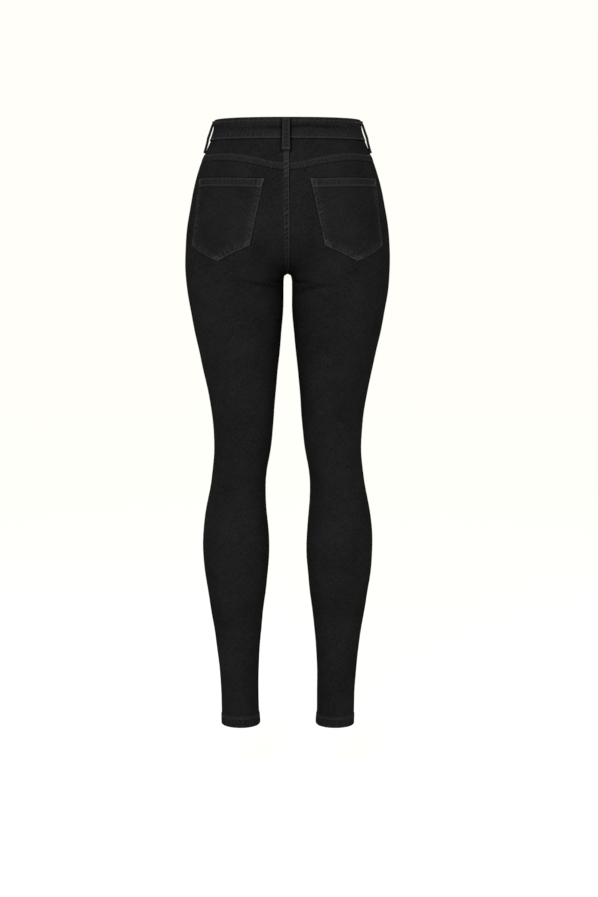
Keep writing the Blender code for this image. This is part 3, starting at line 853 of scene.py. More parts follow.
# %% The yoke's felled edge
FELL_PROUD = 0.0013
FELL_WIDTH = 0.0122
FELL_ROWS = (0.0018, 0.0102)
FELL_RUN_OUT = 0.0016
FELL_SLOPE = 0.0022
YOKE_PITCH = 0.0048
YOKE_SLANT = 0.35
YOKE_ROPING = 0.66
FELL_WEAR = 0.13
BEAD_ASIDE = 0.0014
BEAD_HALF = 0.0013
BEAD_PITCH = 0.0044
BEAD_WEAR = 0.26
BETWEEN_ROWS = RubAndShade(-0.10, sum(FELL_ROWS) / 2, 0.0010)
OVER_ROWS = RubAndShade(0.14, FELL_ROWS[1] + 0.0010, 0.0010)
YOKE_EDGE_HALF = 0.0009
YOKE_EDGE_ROUND = 0.00035
YOKE_EDGE_WEAR = 0.20
TUG = 0.00034
TUG_REACH = 0.0040
TUG_PITCH = 0.0150


def yoke_place(leg, turns, downs, out=0.0):
    """A point on the yoke with its fell, and its wear."""
    up = yoke_line(turns) - downs
    along = turns / turn_per_metre(0.25, YOKE_SIDE_DOWN)
    seed = 1.1 if leg == "left" else 5.2
    relief, wear = sewn_relief(up, along, FELL_ROWS, YOKE_PITCH, YOKE_SLANT, seed, YOKE_ROPING)
    low, high = FELL_ROWS
    beads = bell(up, low + BEAD_ASIDE, BEAD_HALF) + bell(up, high - BEAD_ASIDE, BEAD_HALF)
    wear = wear + FELL_WEAR * between(up, 0.0, FELL_WIDTH, 0.0020) + rub_and_shade(up, BETWEEN_ROWS)
    wear = wear + BEAD_WEAR * beads * ripple(along, BEAD_PITCH, seed + 4)
    proud = FELL_PROUD * smooth_step((FELL_WIDTH + FELL_RUN_OUT - up) / FELL_SLOPE)
    edge = bell(up, 0, YOKE_EDGE_HALF)
    tug = TUG * bell(downs, BAND_HEIGHT, TUG_REACH) * ripple(along, TUG_PITCH, seed + 2)
    lift = out + relief + proud - YOKE_EDGE_ROUND * edge + tug - tuck(downs)
    return cloth(leg, turns, downs, lift), wear + YOKE_EDGE_WEAR * edge + rub_and_shade(up, OVER_ROWS)


print("the yoke's fell is", FELL_WIDTH * 1000, "mm wide")

# %% Cut the two yokes
YOKE_COLUMNS = 170
YOKE_PLAIN_ROWS = 14
YOKE_FELL_ROWS = 14
FELL_BREAK = 0.0020
UNEVEN = 0.0005
UNEVEN_PITCH = 0.021


def yoke_gap(leg, turns, downs):
    """Distance from the band, the centre fell and the belt loops that lie over the yoke."""
    uneven = UNEVEN * ripple(turns / turn_per_metre(0.25, YOKE_SIDE_DOWN), UNEVEN_PITCH, 3.0)
    shade_gap = np.minimum(downs - BAND_HEIGHT + BAND_SOFT + uneven, fold_gap(leg, turns, downs))
    shade_gap = np.minimum(shade_gap, back_loop_gap(MIRROR[leg][0] * reach_at(turns, downs), downs))
    from_side = (0.5 - turns) / turn_per_metre(0.5, downs)
    return np.minimum(shade_gap, side_loop_gap(from_side, downs))


def yoke(leg):
    """One half of the yoke, from the band to its felled edge."""
    name = f"yoke_{leg}"
    turns = np.linspace(0, 0.5, YOKE_COLUMNS + 1)
    low = yoke_line(turns)
    fell_top = low - FELL_WIDTH - FELL_BREAK
    share = np.linspace(0, 1, YOKE_PLAIN_ROWS + 1)[:, None]
    plain = BAND_HEIGHT - BAND_TUCK + share * (fell_top - BAND_HEIGHT + BAND_TUCK)
    fell = fell_top + np.linspace(0, 1, YOKE_FELL_ROWS + 1)[1:, None] * (low - fell_top)
    downs = np.concatenate([plain, fell])
    turns = np.broadcast_to(turns, downs.shape).copy()
    turns[:, 0] += SEAM_GAP * turn_per_metre(0.0, downs[:, 0])
    turns[:, -1] -= SEAM_GAP * turn_per_metre(0.5, downs[:, -1])
    points, wear = yoke_place(leg, turns, downs)
    points = keep_apart(points, leg)
    facing = normal(0.25, BAND_HEIGHT) * MIRROR[leg]
    piece = cloth_piece(name, points, facing, wear, yoke_gap(leg, turns, downs))
    declare(piece, points, "stretched", name)
    return piece


yokes = [yoke(leg) for leg in ("left", "right")]

# %% [markdown]
# ## Centre seams
# The two halves are felled together at the centre back, from under the belt loop to the crotch.
# The fell is a ribbon about a centimetre wide that lies a little to the wearer's left, with a
# crisp fold on its right-hand edge, and it ropes at a slant more than any other seam. We lay it as
# a strip over the panels. The front has a shorter one below the fly.

# %% A smooth strip over the centre seam
STRIP_REACH = 0.0035
STRIP_SAMPLES = 7


def signed_surface(across, down, front):
    """A smooth point over the centre seam, at this distance to the wearer's left of it."""
    total = 0
    for shift in np.linspace(-STRIP_REACH, STRIP_REACH, STRIP_SAMPLES):
        place = across + shift
        turn = np.abs(place) * turn_per_metre(0.0, down)
        point = surface(1 - turn if front else turn, down)
        total = total + mirrored(point, np.sign(place))
    return total / STRIP_SAMPLES


def centre_normal(across, down, front):
    """The outward direction of that smooth strip."""
    step = 0.0010
    aside = signed_surface(across + step, down, front) - signed_surface(across - step, down, front)
    lower = signed_surface(across, down + step / 2, front)
    out = np.cross(aside, lower - signed_surface(across, down - step / 2, front))
    out = out * (-1 if front else 1)
    return out / np.linalg.norm(out, axis=-1, keepdims=True)


print("the strip is smoothed over", 2 * STRIP_REACH * 1000, "mm")

# %% Lay the centre back and centre front fells
SEAT_FELL_ROWS = (-0.0007, 0.0055)
SEAT_PITCH = 0.0074
SEAT_SLANT = -0.62
SEAT_ROPING = 1.10
SEAT_PROUD = 0.00195
SEAT_SUNK = 0.0002
SEAT_SLOPE = 0.0030
SEAT_WEAR_SLOPE = 0.0034
SEAT_EDGE_HALF = 0.0007
SEAT_EDGE_ROUND = 0.00035
# painted shade at the fell's rounded fold edge and in the stitch groove beside the fold
SEAT_EDGE_SHADE = 0.25
SEAT_GROOVE_SHADE = RubAndShade(-0.45, SEAT_FELL_ROWS[0], 0.0006)
SEAT_FOLD_RUB = RubAndShade(0.90, SEAT_FELL[0] + 0.0008, 0.0007)
CROSSING = (YOKE_SIDE_DOWN + YOKE_DIP - 0.0120, 0.0822, 0.0040)
CROSSING_PROUD = 0.0011
THICK_END_DOWN = 0.098
THICK_END_FADE = 0.010
THICK_END_WEAR = 0.34
FELL_STEPS = 230
FELL_COLUMNS = 18
FELL_THICK = 0.0010
CROTCH_SHORT = 0.0016
UNDER_BAND = BAND_HEIGHT + 0.0004


def fell_place(across, downs, along, front, out=0.0):
    """A point on a centre fell, and its wear."""
    relief, wear = sewn_relief(
        across, along, SEAT_FELL_ROWS, SEAT_PITCH, SEAT_SLANT, 2.6, SEAT_ROPING
    )
    crisp = bell(across, SEAT_FELL[0], SEAT_EDGE_HALF)
    slope = smooth_step((SEAT_FELL[1] - across) / SEAT_SLOPE)
    over_yoke = 0.0 if front else CROSSING_PROUD * between(downs, *CROSSING)
    lift = out + relief - SEAT_EDGE_ROUND * crisp + SEAT_PROUD * slope - SEAT_SUNK + over_yoke
    to_end = smooth_step((THICK_END_DOWN - downs) / THICK_END_FADE)
    thick_end = 0.0 if front else THICK_END_WEAR * to_end
    wear = wear * (1 + thick_end) + thick_end
    wear = wear * smooth_step((SEAT_FELL[1] - across) / SEAT_WEAR_SLOPE)
    # painted shade at the rounded fold edge and in the groove beside it
    wear = wear + rub_and_shade(across, SEAT_FOLD_RUB) + rub_and_shade(across, SEAT_GROOVE_SHADE) - SEAT_EDGE_SHADE * crisp
    place = across + fell_shift(downs, front)
    point = signed_surface(place, downs, front) + centre_normal(place, downs, front) * lift[..., None]
    return point, wear


def centre_fell(name, first, last, front):
    """The ribbon of a felled centre seam."""
    rows, length = seam_downs(first, last, front, FELL_STEPS)
    across = np.linspace(*SEAT_FELL, FELL_COLUMNS + 1)
    along = np.linspace(0, length, FELL_STEPS + 1)[:, None]
    across, downs = np.broadcast_arrays(across[None], rows[:, None])
    points, wear = fell_place(across, downs, along, front)
    middle = np.array(sum(SEAT_FELL) / 2), np.array((first + last) / 2)
    piece = cloth_piece(name, points, centre_normal(*middle, front), wear, thick=FELL_THICK)
    declare(piece, points, "stretched", cut_width=SEAT_FELL[1] - SEAT_FELL[0])
    return piece


back_fell = centre_fell("seat_fell", UNDER_BAND, CROTCH_DOWN - CROTCH_SHORT, False)
front_fell = centre_fell("front_fell", FLY_DOWN, CROTCH_DOWN - CROTCH_SHORT, True)

# %% [markdown]
# ## Waistband
# The band is one long strip folded along its top edge, so its sheet runs up the outside, over the
# fold and down the inside. Its left end laps over the right one at the centre front. It bears
# the pull of the whole garment, and the row of stitches along its lower edge puckers it upright.

# %% The band's line and its lap
BAND_PROUD = 0.0010
BAND_FOLD = 0.0013
OVERLAP = 0.014
UNDERLAP = 0.024
LAP_RISE = 0.018
LAP_CLEAR = 0.002
LAP_LIFT = 2 * BAND_FOLD + 0.0003
FRONT_RATE = float(turn_per_metre(0.99, BAND_HEIGHT / 2))
BACK_RATE = float(turn_per_metre(0.0, BAND_HEIGHT / 2))
BAND_RATE = float(turn_per_metre(0.20, BAND_HEIGHT / 2))


def band_point(turn, down, out):
    """A point over the band, whose turn runs from -1 to 1 round both sides."""
    turn = np.where(turn > 1, turn - 2, turn)
    turn = np.where(turn < -1, turn + 2, turn)
    point = surface(np.abs(turn), down) + normal(np.abs(turn), down) * out[..., None]
    return mirrored(point, np.where(turn < 0, -1, 1))


def lap_lift(turns):
    """How far the left end has climbed over the right one."""
    rise_ends = 1 - (UNDERLAP + LAP_CLEAR) * FRONT_RATE
    rise_starts = rise_ends - LAP_RISE * FRONT_RATE
    return LAP_LIFT * smooth_step((turns - rise_starts) / (rise_ends - rise_starts))


print("the ends lap by", round((OVERLAP + UNDERLAP) * 1000), "mm")

# %% The band's stitches, puckers and wear
BAND_STITCHES = (0.0046, 0.0309)
BAND_PITCH = 0.0068
BAND_PUCKER = 0.00022
BAND_TOP_PITCH = 0.0085
BAND_TOP_PUCKER = 0.00014
BAND_TOP_HALF = 0.0035
BAND_TOP_CREST_WEAR = 0.22
PULL_ABOVE = 0.003
PULL_REACH = 0.0052
PULL_WEAR = 0.10
PULL_CREST_WEAR = 0.26
BAND_SLACK = 0.00022
HOLLOW_DOWN = 0.0146
HOLLOW_HALF = 0.0036
HOLLOW_DEPTH = 0.0004
# painted shade in the band's hollow
HOLLOW_SHADE = 0.38
BAND_EDGE_HALF = 0.0006
BAND_EDGE_ROUND = 0.0003
BAND_WEAR = 0.09
BAND_LOW_RUB = RubAndShade(0.62, BAND_HEIGHT - 0.0006, 0.0007)
BAND_TOP_RUB = RubAndShade(0.10, BAND_STITCHES[0], 0.0022)
# painted shade along the band's top fold
BAND_FOLD_SHADE = RubAndShade(-0.35, 0.0, 0.0010)


def band_relief(turns, downs):
    """(height, wear) of the band's face."""
    along = turns / BAND_RATE
    top, low = BAND_STITCHES
    grooves = 0.6 * GROOVE * bell(downs, top, GROOVE_HALF) + GROOVE * bell(downs, low, GROOVE_HALF)
    pull = bell(downs, low - PULL_ABOVE, PULL_REACH)
    wave = ripple(along, BAND_PITCH, 0.9) * (0.40 + 0.60 * np.sin(along * 14.5 + 0.4) ** 2)
    slow = BAND_SLACK * np.sin(along * 61 + 1.1) * np.sin(along * 23) * bell(downs, 0.016, 0.011)
    hollow_middle = HOLLOW_DOWN + 0.0014 * np.sin(along * 34) + 0.0008 * np.sin(along * 79 + 1)
    hollow = bell(downs, hollow_middle, HOLLOW_HALF) * (0.62 + 0.38 * np.sin(along * 27 + 2))
    top_wave = ripple(along, BAND_TOP_PITCH, 2.9) * bell(downs, top, BAND_TOP_HALF)
    height = BAND_PUCKER * pull * wave + BAND_TOP_PUCKER * top_wave + slow - HOLLOW_DEPTH * hollow
    height = height - grooves - BAND_EDGE_ROUND * bell(downs, BAND_HEIGHT, BAND_EDGE_HALF)
    wear = pull * (PULL_WEAR + PULL_CREST_WEAR * wave) + rub_and_shade(downs, BAND_LOW_RUB)
    # painted shade in the hollow and along the top fold
    wear = wear + BAND_TOP_CREST_WEAR * top_wave + rub_and_shade(downs, BAND_TOP_RUB) - HOLLOW_SHADE * hollow
    return height, wear + BAND_WEAR + rub_and_shade(downs, BAND_FOLD_SHADE)


def band_gap(turns, downs):
    """Distance from the belt loops at the back and over the side seams."""
    from_side = (0.5 - np.abs(turns)) / BAND_RATE
    shade_gap = np.minimum(back_loop_gap(turns / BACK_RATE, downs), side_loop_gap(from_side, downs))
    return np.minimum(shade_gap, FAR_GAP)


print("rows of stitches", [round(down * 1000, 1) for down in BAND_STITCHES], "mm down the band")

# %% Fold the waistband
BAND_COLUMNS = 620
BAND_FACE_ROWS = 34
BAND_FOLD_ROWS = 7
BAND_INSIDE_ROWS = 8
INSIDE_SHORT = 0.001


def waistband():
    """The folded strip, all the way round."""
    turns = np.linspace(-1 - UNDERLAP * FRONT_RATE, 1 + OVERLAP * FRONT_RATE, BAND_COLUMNS + 1)[None]
    face = np.linspace(BAND_HEIGHT, BAND_FOLD, BAND_FACE_ROWS + 1)[:, None]
    relief, wear = band_relief(turns, face)
    angles = np.linspace(0, np.pi, BAND_FOLD_ROWS + 2)[1:, None]
    inside = np.linspace(BAND_FOLD, BAND_HEIGHT - INSIDE_SHORT, BAND_INSIDE_ROWS + 1)[1:, None]
    downs = np.concatenate([face, BAND_FOLD * (1 - np.sin(angles)), inside])
    fold_out = -BAND_FOLD * (1 - np.cos(angles)) + relief[-1:] * (1 + np.cos(angles)) / 2
    inside_out = np.full((BAND_INSIDE_ROWS, turns.shape[1]), -2 * BAND_FOLD)
    outs = np.concatenate([relief, fold_out, inside_out]) + BAND_PROUD + lap_lift(turns)
    turns, downs = np.broadcast_arrays(turns, downs)
    points = band_point(turns, downs, outs)
    shown = len(wear)
    hidden = np.zeros((len(downs) - shown, downs.shape[1]))
    wear = np.concatenate([wear, hidden])
    shade_gap = np.concatenate([band_gap(turns[:shown], downs[:shown]), hidden + FAR_GAP])
    half, middle = BAND_COLUMNS // 2, len(downs) // 2
    facing = points[middle, half] - points[-1, half]
    piece = cloth_piece("waistband", points, facing, wear, shade_gap)
    declare(piece, points, "stretched", "waistband")
    return piece


band = waistband()

# %% [markdown]
# ## Patch pockets
# Each pocket is now laid on the seat, over the panel. Its edges are turned under and sewn round
# with two rows, and its open top is hemmed first, so it is thickest there. Its mesh is finest
# along those rows, where the cloth has most to do.

# %% How the pocket's edges are folded
POCKET_HEM = 0.0130
POCKET_HEM_ROWS = (0.0019, 0.0112)
POCKET_HEM_PITCH = 0.0066
POCKET_HEM_SLANT = 0.2
POCKET_HEM_ROPING = 0.6
POCKET_HEM_PROUD = 0.0004
POCKET_ROWS = (0.0016, 0.0084)
POCKET_PITCH = 0.0056
POCKET_SLANT = 0.5
POCKET_ROPING = 0.75
POCKET_SOFT = 0.0064
CORNER_CLEAR = 0.003
TURN_UNDER = 0.0125
TURN_UNDER_SLOPE = 0.0060
TURN_UNDER_PROUD = 0.00030
POCKET_EDGE_ROUND = 0.00055
POCKET_SLACK = 0.0002
OUTER_SIDE = 3
Spot = namedtuple("Spot", "across down to_inner nearest second run on_outer below clear in_hem")


def pocket_spot(across, down):
    """Where places on the pocket lie, measured from its sides, corners and top."""
    inside, along = edge_distances(across, down)
    order = np.argsort(inside, axis=0)
    nearest = np.take_along_axis(inside, order[:1], 0)[0]
    second = np.take_along_axis(inside, order[1:2], 0)[0]
    run = np.take_along_axis(along, order[:1], 0)[0]
    below = down - pocket_top(across)
    clear = smooth_step((second - nearest) / CORNER_CLEAR)
    in_hem = smooth_step((POCKET_HEM + 0.0006 - below) / 0.0012)
    on_outer = (order[0] == OUTER_SIDE) * clear
    return Spot(across, down, inside[0], nearest, second, run, on_outer, below, clear, in_hem)


def pocket_height(spot, sides, hem, seed):
    """How far the pocket stands out, from the relief of its sides and its hem."""
    sides = sides + 0.7 * GROOVE * bell(spot.nearest, POCKET_ROWS[1], GROOVE_HALF)
    sides = sides * (0.4 + 0.6 * spot.clear)
    turned = TURN_UNDER_PROUD * smooth_step((TURN_UNDER - spot.nearest) / TURN_UNDER_SLOPE)
    rim = POCKET_EDGE_ROUND * (bell(spot.nearest, 0, EDGE_ROUND) + bell(spot.below, 0, EDGE_ROUND))
    slow = POCKET_SLACK * np.sin(spot.across * 74 + seed) * np.sin(spot.down * 83 + 2 * seed)
    height = sides * (1 - 0.5 * spot.in_hem) + hem * spot.in_hem + turned
    return height + POCKET_HEM_PROUD * spot.in_hem + slow - rim


print("the pocket's hem is", POCKET_HEM * 1000, "mm deep")

# %% How the pocket is rubbed, and where shade is painted on it
TACK_INSET = 0.0115
POCKET_EDGE_RUB = RubAndShade(1.0, 0.0007, 0.0009)
EDGE_WEAR = (0.56, 0.40)
EDGE_PITCH = 0.0170
OUTER_END = (0.020, 0.010)
HEM_UPPER_RUB = RubAndShade(0.38, 0.0005, 0.0009)
HEM_LOWER_RUB = RubAndShade(0.52, POCKET_HEM, 0.0008)
# painted shade under the hem's lower edge
BELOW_HEM_SHADE = RubAndShade(-0.30, POCKET_HEM + 0.0016, 0.0007)
WORN_CORNER = RubAndShade(1.1, 0.0, 0.0034)
OVER_TURN = RubAndShade(0.20, 0.0062, 0.0074)
OVER_TURN_PITCH = 0.0105
OUTER_BEADS = RubAndShade(0.50, 0.0060, 0.0015)
OUTER_BEAD_PITCH = 0.0050
LAYERS_SOFT = 0.0016
LAYERS_FROM = 0.0008
LAYERS_WEAR = 0.28
LAYERS_FOLD = RubAndShade(0.62, 0.0078, 0.0012)
LAYERS_MIDDLE = RubAndShade(0.40, 0.0040, 0.0009)
TACKED_WEAR = 0.16
# painted shade beside the tacked end of the hem
BESIDE_TACK_SHADE = RubAndShade(-0.45, TACK_INSET, 0.0007)


def rubbed_edges(spot, seed):
    """Wear of the turned edges, of the hem's two edges and of the inner top corner, with painted shade
    under the hem's lower edge.
    """
    rubbed = EDGE_WEAR[0] + EDGE_WEAR[1] * ripple(spot.run, EDGE_PITCH, seed + 6)
    outer_end = smooth_step((spot.across - POCKET_OUTER_TOP + OUTER_END[0]) / OUTER_END[1])
    rubbed = rubbed * (1 - 0.7 * spot.in_hem * outer_end)
    edges = rubbed * rub_and_shade(spot.nearest, POCKET_EDGE_RUB) + rub_and_shade(spot.below, HEM_UPPER_RUB)
    lower_hem = rub_and_shade(spot.below, HEM_LOWER_RUB) + rub_and_shade(spot.below, BELOW_HEM_SHADE)
    from_corner = np.hypot(spot.across - POCKET_CORNERS[0, 0], spot.below)
    return edges + lower_hem + rub_and_shade(from_corner, WORN_CORNER)


def rubbed_layers(spot, seed):
    """Wear over the cloth that is turned under, strongest where two sides' turns cross."""
    soft = rub_and_shade(spot.nearest, OVER_TURN) * spot.clear
    soft = soft * (0.65 + 0.6 * ripple(spot.run, OVER_TURN_PITCH, seed + 3))
    beads = spot.on_outer * rub_and_shade(spot.nearest, OUTER_BEADS)
    beads = beads * ripple(spot.run, OUTER_BEAD_PITCH, seed + 8) * (1 - spot.in_hem)
    turn = LAYERS_FROM, POCKET_ROWS[1], LAYERS_SOFT
    doubled = between(spot.nearest, *turn) * between(spot.second, *turn)
    layers = LAYERS_WEAR + rub_and_shade(spot.second, LAYERS_FOLD) + rub_and_shade(spot.second, LAYERS_MIDDLE)
    return soft + doubled * layers + beads


def pocket_relief(across, down, seed):
    """(height, wear) of the pocket over its plain face."""
    spot = pocket_spot(across, down)
    sides, side_wear = sewn_relief(
        spot.nearest, spot.run, POCKET_ROWS, POCKET_PITCH, POCKET_SLANT, seed, POCKET_ROPING, POCKET_SOFT
    )
    hem, hem_wear = sewn_relief(
        spot.below, across, POCKET_HEM_ROWS, POCKET_HEM_PITCH, POCKET_HEM_SLANT, seed + 1, POCKET_HEM_ROPING
    )
    height = pocket_height(spot, sides, hem, seed)
    tacked = TACKED_WEAR * between(spot.to_inner, 0.0, TACK_INSET, 0.0010)
    # painted shade beside the tacked end of the hem
    hem_wear = 0.6 * hem_wear + 0.12 + tacked + rub_and_shade(spot.to_inner, BESIDE_TACK_SHADE)
    wear = side_wear * spot.clear + rubbed_layers(spot, seed)
    wear = wear * (1 - 0.5 * spot.in_hem) + hem_wear * spot.in_hem
    return height, wear + rubbed_edges(spot, seed)


print("the pocket's edges are turned under by", TURN_UNDER * 1000, "mm")

# %% Lay both pockets on the seat
POCKET_LIFT = 0.0016
POCKET_STEP = 0.00135
FINE_ACROSS = (0.0100, 0.00077)
FINE_DOWN = (0.0150, 0.00090)


def pocket_place(leg, across, down, out=0.0):
    """A point on the pocket, and its wear."""
    height, wear = pocket_relief(across, down, 1.9 if leg == "left" else 4.4)
    return cloth(leg, turn_at(across, down), down, POCKET_LIFT + height + out), wear


def graded(width, fine_reach, fine):
    """Shares from 0 to 1 of a width, in finer steps within fine_reach of both ends."""
    edge = np.linspace(0, fine_reach / width, int(round(fine_reach / fine)) + 1)
    last = 1 - edge[-1]
    middle_steps = int(round((last - edge[-1]) * width / POCKET_STEP))
    middle = np.linspace(edge[-1], last, middle_steps + 1)[1:]
    return np.concatenate([edge, middle, 1 - edge[::-1][1:]])


def pocket_grid():
    """Flat places of the pocket's rows and columns."""
    u = graded(POCKET_OUTER_TOP - POCKET_INNER_TOP, *FINE_ACROSS)[None]
    v = graded(POCKET_TIP_DOWN - POCKET_TOP, *FINE_DOWN)[:, None]
    tip = (POCKET_TIP - POCKET_INNER_LOW) / (POCKET_OUTER_LOW - POCKET_INNER_LOW)
    u[0, np.argmin(np.abs(u[0] - tip))] = tip
    start = POCKET_INNER_TOP + (POCKET_INNER_LOW - POCKET_INNER_TOP) * v
    end = POCKET_OUTER_TOP + (POCKET_OUTER_LOW - POCKET_OUTER_TOP) * v
    across = start + (end - start) * u
    reach = 1 - np.where(u < tip, (tip - u) / tip, (u - tip) / (1 - tip))
    low = POCKET_CORNER_DOWN + (POCKET_TIP_DOWN - POCKET_CORNER_DOWN) * reach
    top = pocket_top(across[:1])
    return across, top + (low - top) * v


def pocket(leg):
    """One patch pocket, laid on the seat."""
    name = f"pocket_{leg}"
    across, downs = pocket_grid()
    points, wear = pocket_place(leg, across, downs)
    facing = normal(0.25, (POCKET_TOP + POCKET_TIP_DOWN) / 2) * MIRROR[leg]
    piece = cloth_piece(name, points, facing, wear)
    declare(piece, points, "laid", name)
    return piece


pockets = [pocket(leg) for leg in ("left", "right")]

# %% [markdown]
# ## Belt loops
# A loop is a folded strip with a row of stitches near each edge, tacked down at both ends and bowed
# out between them so that a belt passes. From behind, one sits at the centre and two are seen
# edge-on at the sides, where the light comes through under them.

# %% The belt loops' places and shape
LOOP_THICK = 0.0034
LOOP_CLEAR = 0.0003
LOOP_BOW = 0.0036
LOOP_BOW_ENDS = 0.07
LOOP_BOW_POWER = 0.6
LOOP_BOW_TOP = 1.10
LOOP_BOW_FALL = 0.30
LOOP_LEAVES_BAND = 0.004
LOOP_MEETS_YOKE = 0.006
LOOP_ROWS = (-0.0036, 0.0036)
LOOP_PITCH = 0.0060
LOOP_PUCKER = 0.00014
LOOP_EDGE_HALF = 0.0006
LOOP_EDGE_ROUND = 0.0004
TURNED_END = 0.88
TURNED_END_SLOPE = 0.03
TURNED_END_PROUD = 0.0005
LOOP_WEAR = 0.10
LOOP_CREST_WEAR = 0.22
LOOP_EDGE_RUB = RubAndShade(0.45, 0.0007, 0.0008)
LOOP_END_RUB = RubAndShade(0.5, 0.985, 0.02)
Loop = namedtuple("Loop", "name turn across proud")
LOOPS = (
    Loop("belt_loop_back", 0.0, BACK_LOOP_ASIDE, 0.0012),
    Loop("belt_loop_left", 0.500, 0.0, 0.0),
    Loop("belt_loop_right", -0.500, 0.0, 0.0),
    Loop("belt_loop_front_left", 0.800, 0.0, 0.0),
    Loop("belt_loop_front_right", -0.800, 0.0, 0.0),
)


def loop_mirror(loop):
    """What a point is multiplied by to lie on the loop's own side."""
    return MIRROR["right" if loop.turn < 0 else "left"]


def loop_place(loop, across, down, out=0.0):
    """A point on a belt loop's outer face, and its wear."""
    share = (down - LOOP_STARTS) / LOOP_LENGTH
    step = LOOP_LEAVES_BAND + LOOP_MEETS_YOKE
    past_band = smooth_step((down - BAND_HEIGHT + LOOP_LEAVES_BAND) / step)
    rest = BAND_PROUD * (1 - past_band) + loop.proud * past_band + LOOP_CLEAR
    bowed = np.clip((share - LOOP_BOW_ENDS) / (1 - 2 * LOOP_BOW_ENDS), 0, 1)
    bow = LOOP_BOW * np.sin(np.pi * bowed) ** LOOP_BOW_POWER * (LOOP_BOW_TOP - LOOP_BOW_FALL * share)
    left_row, right_row = LOOP_ROWS
    grooves = GROOVE * (bell(across, left_row, GROOVE_HALF) + bell(across, right_row, GROOVE_HALF))
    wave = ripple(down, LOOP_PITCH, 3 * loop.turn + 1) * between(across, *LOOP_ROWS, 0.002)
    to_edge = LOOP_WIDTH / 2 - np.abs(across)
    rim = LOOP_EDGE_ROUND * bell(to_edge, 0, LOOP_EDGE_HALF)
    turned_end = TURNED_END_PROUD * smooth_step((share - TURNED_END) / TURNED_END_SLOPE)
    lift = rest + bow + LOOP_THICK - grooves + LOOP_PUCKER * wave - rim + turned_end + out
    turn = abs(loop.turn)
    turns = turn + (loop.across + across) * float(turn_per_metre(turn, BAND_HEIGHT))
    wear = LOOP_WEAR + LOOP_CREST_WEAR * wave + rub_and_shade(to_edge, LOOP_EDGE_RUB) + rub_and_shade(share, LOOP_END_RUB)
    return band_point(turns, down, lift) * loop_mirror(loop), wear


print(len(LOOPS), "loops, bowed", LOOP_BOW * 1000, "mm")

# %% Sew on the five belt loops
LOOP_STEPS = 64
LOOP_COLUMNS = 16


def belt_loop(loop):
    """One belt loop, lying over the band and the yoke."""
    across, downs = np.broadcast_arrays(
        np.linspace(-0.5, 0.5, LOOP_COLUMNS + 1)[None] * LOOP_WIDTH,
        (LOOP_STARTS + np.linspace(0, 1, LOOP_STEPS + 1) * LOOP_LENGTH)[:, None],
    )
    points, wear = loop_place(loop, across, downs)
    facing = normal(abs(loop.turn), BAND_HEIGHT) * loop_mirror(loop)
    piece = cloth_piece(loop.name, points, facing, wear, thick=LOOP_THICK)
    declare(piece, points, "stretched", loop.name)
    return piece


belt_loops = [belt_loop(loop) for loop in LOOPS]

# %% [markdown]
# ## Thread
# Topstitching is what the eye reads first on black jeans: thick thread, a shade lighter than the
# cloth, three millimetres a stitch. Each stitch is a tiny spindle of a few dozen faces, half sunk
# in its groove. We model one from a sphere, read its shape and lay copies along each row, all in
# one mesh for each part of the garment. On the band, the legs and the fly each stitch is then
# moved onto the mesh itself, so that none floats above the cloth or drowns in it.

# %% Model one stitch
STITCH = 0.0026
STITCH_PITCH = 0.0031
STITCH_REACH = 0.0020
STITCH_BLUNT = 0.7
THREAD_WIDE = 0.00062
THREAD_HIGH = 0.00052
THREAD_PROUD = 0.18

deselect_all()
bpy.ops.mesh.primitive_uv_sphere_add(segments=6, ring_count=5, radius=0.5)
sample = bpy.context.object
bpy.ops.object.mode_set(mode="EDIT")
bpy.ops.mesh.select_all(action="SELECT")
bpy.ops.transform.rotate(value=math.radians(90), orient_axis="Y", center_override=(0, 0, 0))
bpy.ops.object.mode_set(mode="OBJECT")
STITCH_SHAPE = np.array([v.co for v in sample.data.vertices])
lengthwise = STITCH_SHAPE[:, 0].copy()
STITCH_SHAPE[:, 0] = np.sign(lengthwise) * np.abs(2 * lengthwise) ** STITCH_BLUNT / 2
STITCH_FACES = [tuple(p.vertices) for p in sample.data.polygons]
bpy.data.objects.remove(sample)
print("a stitch has", len(STITCH_FACES), "faces")

# %% Lay stitches along a row


def at_lengths(points, places, lengths):
    """The points that lie these distances along a line."""
    return np.stack([np.interp(places, lengths, points[:, k]) for k in range(3)], 1)


def row_frames(points, raised, pitch):
    """For each stitch of a row, its place, the way the row runs and the way out of the cloth."""
    lengths = lengths_along(points)
    count = max(int(lengths[-1] / pitch), 1)
    middles = (np.arange(count) + 0.5) * lengths[-1] / count
    place = at_lengths(points, middles, lengths)
    ahead, behind = middles + pitch / 3, middles - pitch / 3
    way = at_lengths(points, ahead, lengths) - at_lengths(points, behind, lengths)
    way /= np.linalg.norm(way, axis=1, keepdims=True)
    out = at_lengths(raised, middles, lengths) - place
    out -= way * (out * way).sum(1, keepdims=True)
    out /= np.linalg.norm(out, axis=1, keepdims=True)
    return place, way, out


def on_the_cloth(place, out, pieces):
    """These places moved along out until they lie on the mesh of the outermost piece."""
    trees = []
    for piece in pieces:
        mesh = piece.data
        corners = [v.co for v in mesh.vertices]
        trees.append(BVHTree.FromPolygons(corners, [tuple(p.vertices) for p in mesh.polygons]))
    moved = place.copy()
    for k, (spot, way) in enumerate(zip(place, out)):
        seen = [tree.ray_cast(spot + way * STITCH_REACH, -way, 2 * STITCH_REACH) for tree in trees]
        seen = [hit for hit in seen if hit[0] is not None]
        if seen:
            moved[k] = min(seen, key=lambda hit: hit[3])[0]
    return moved


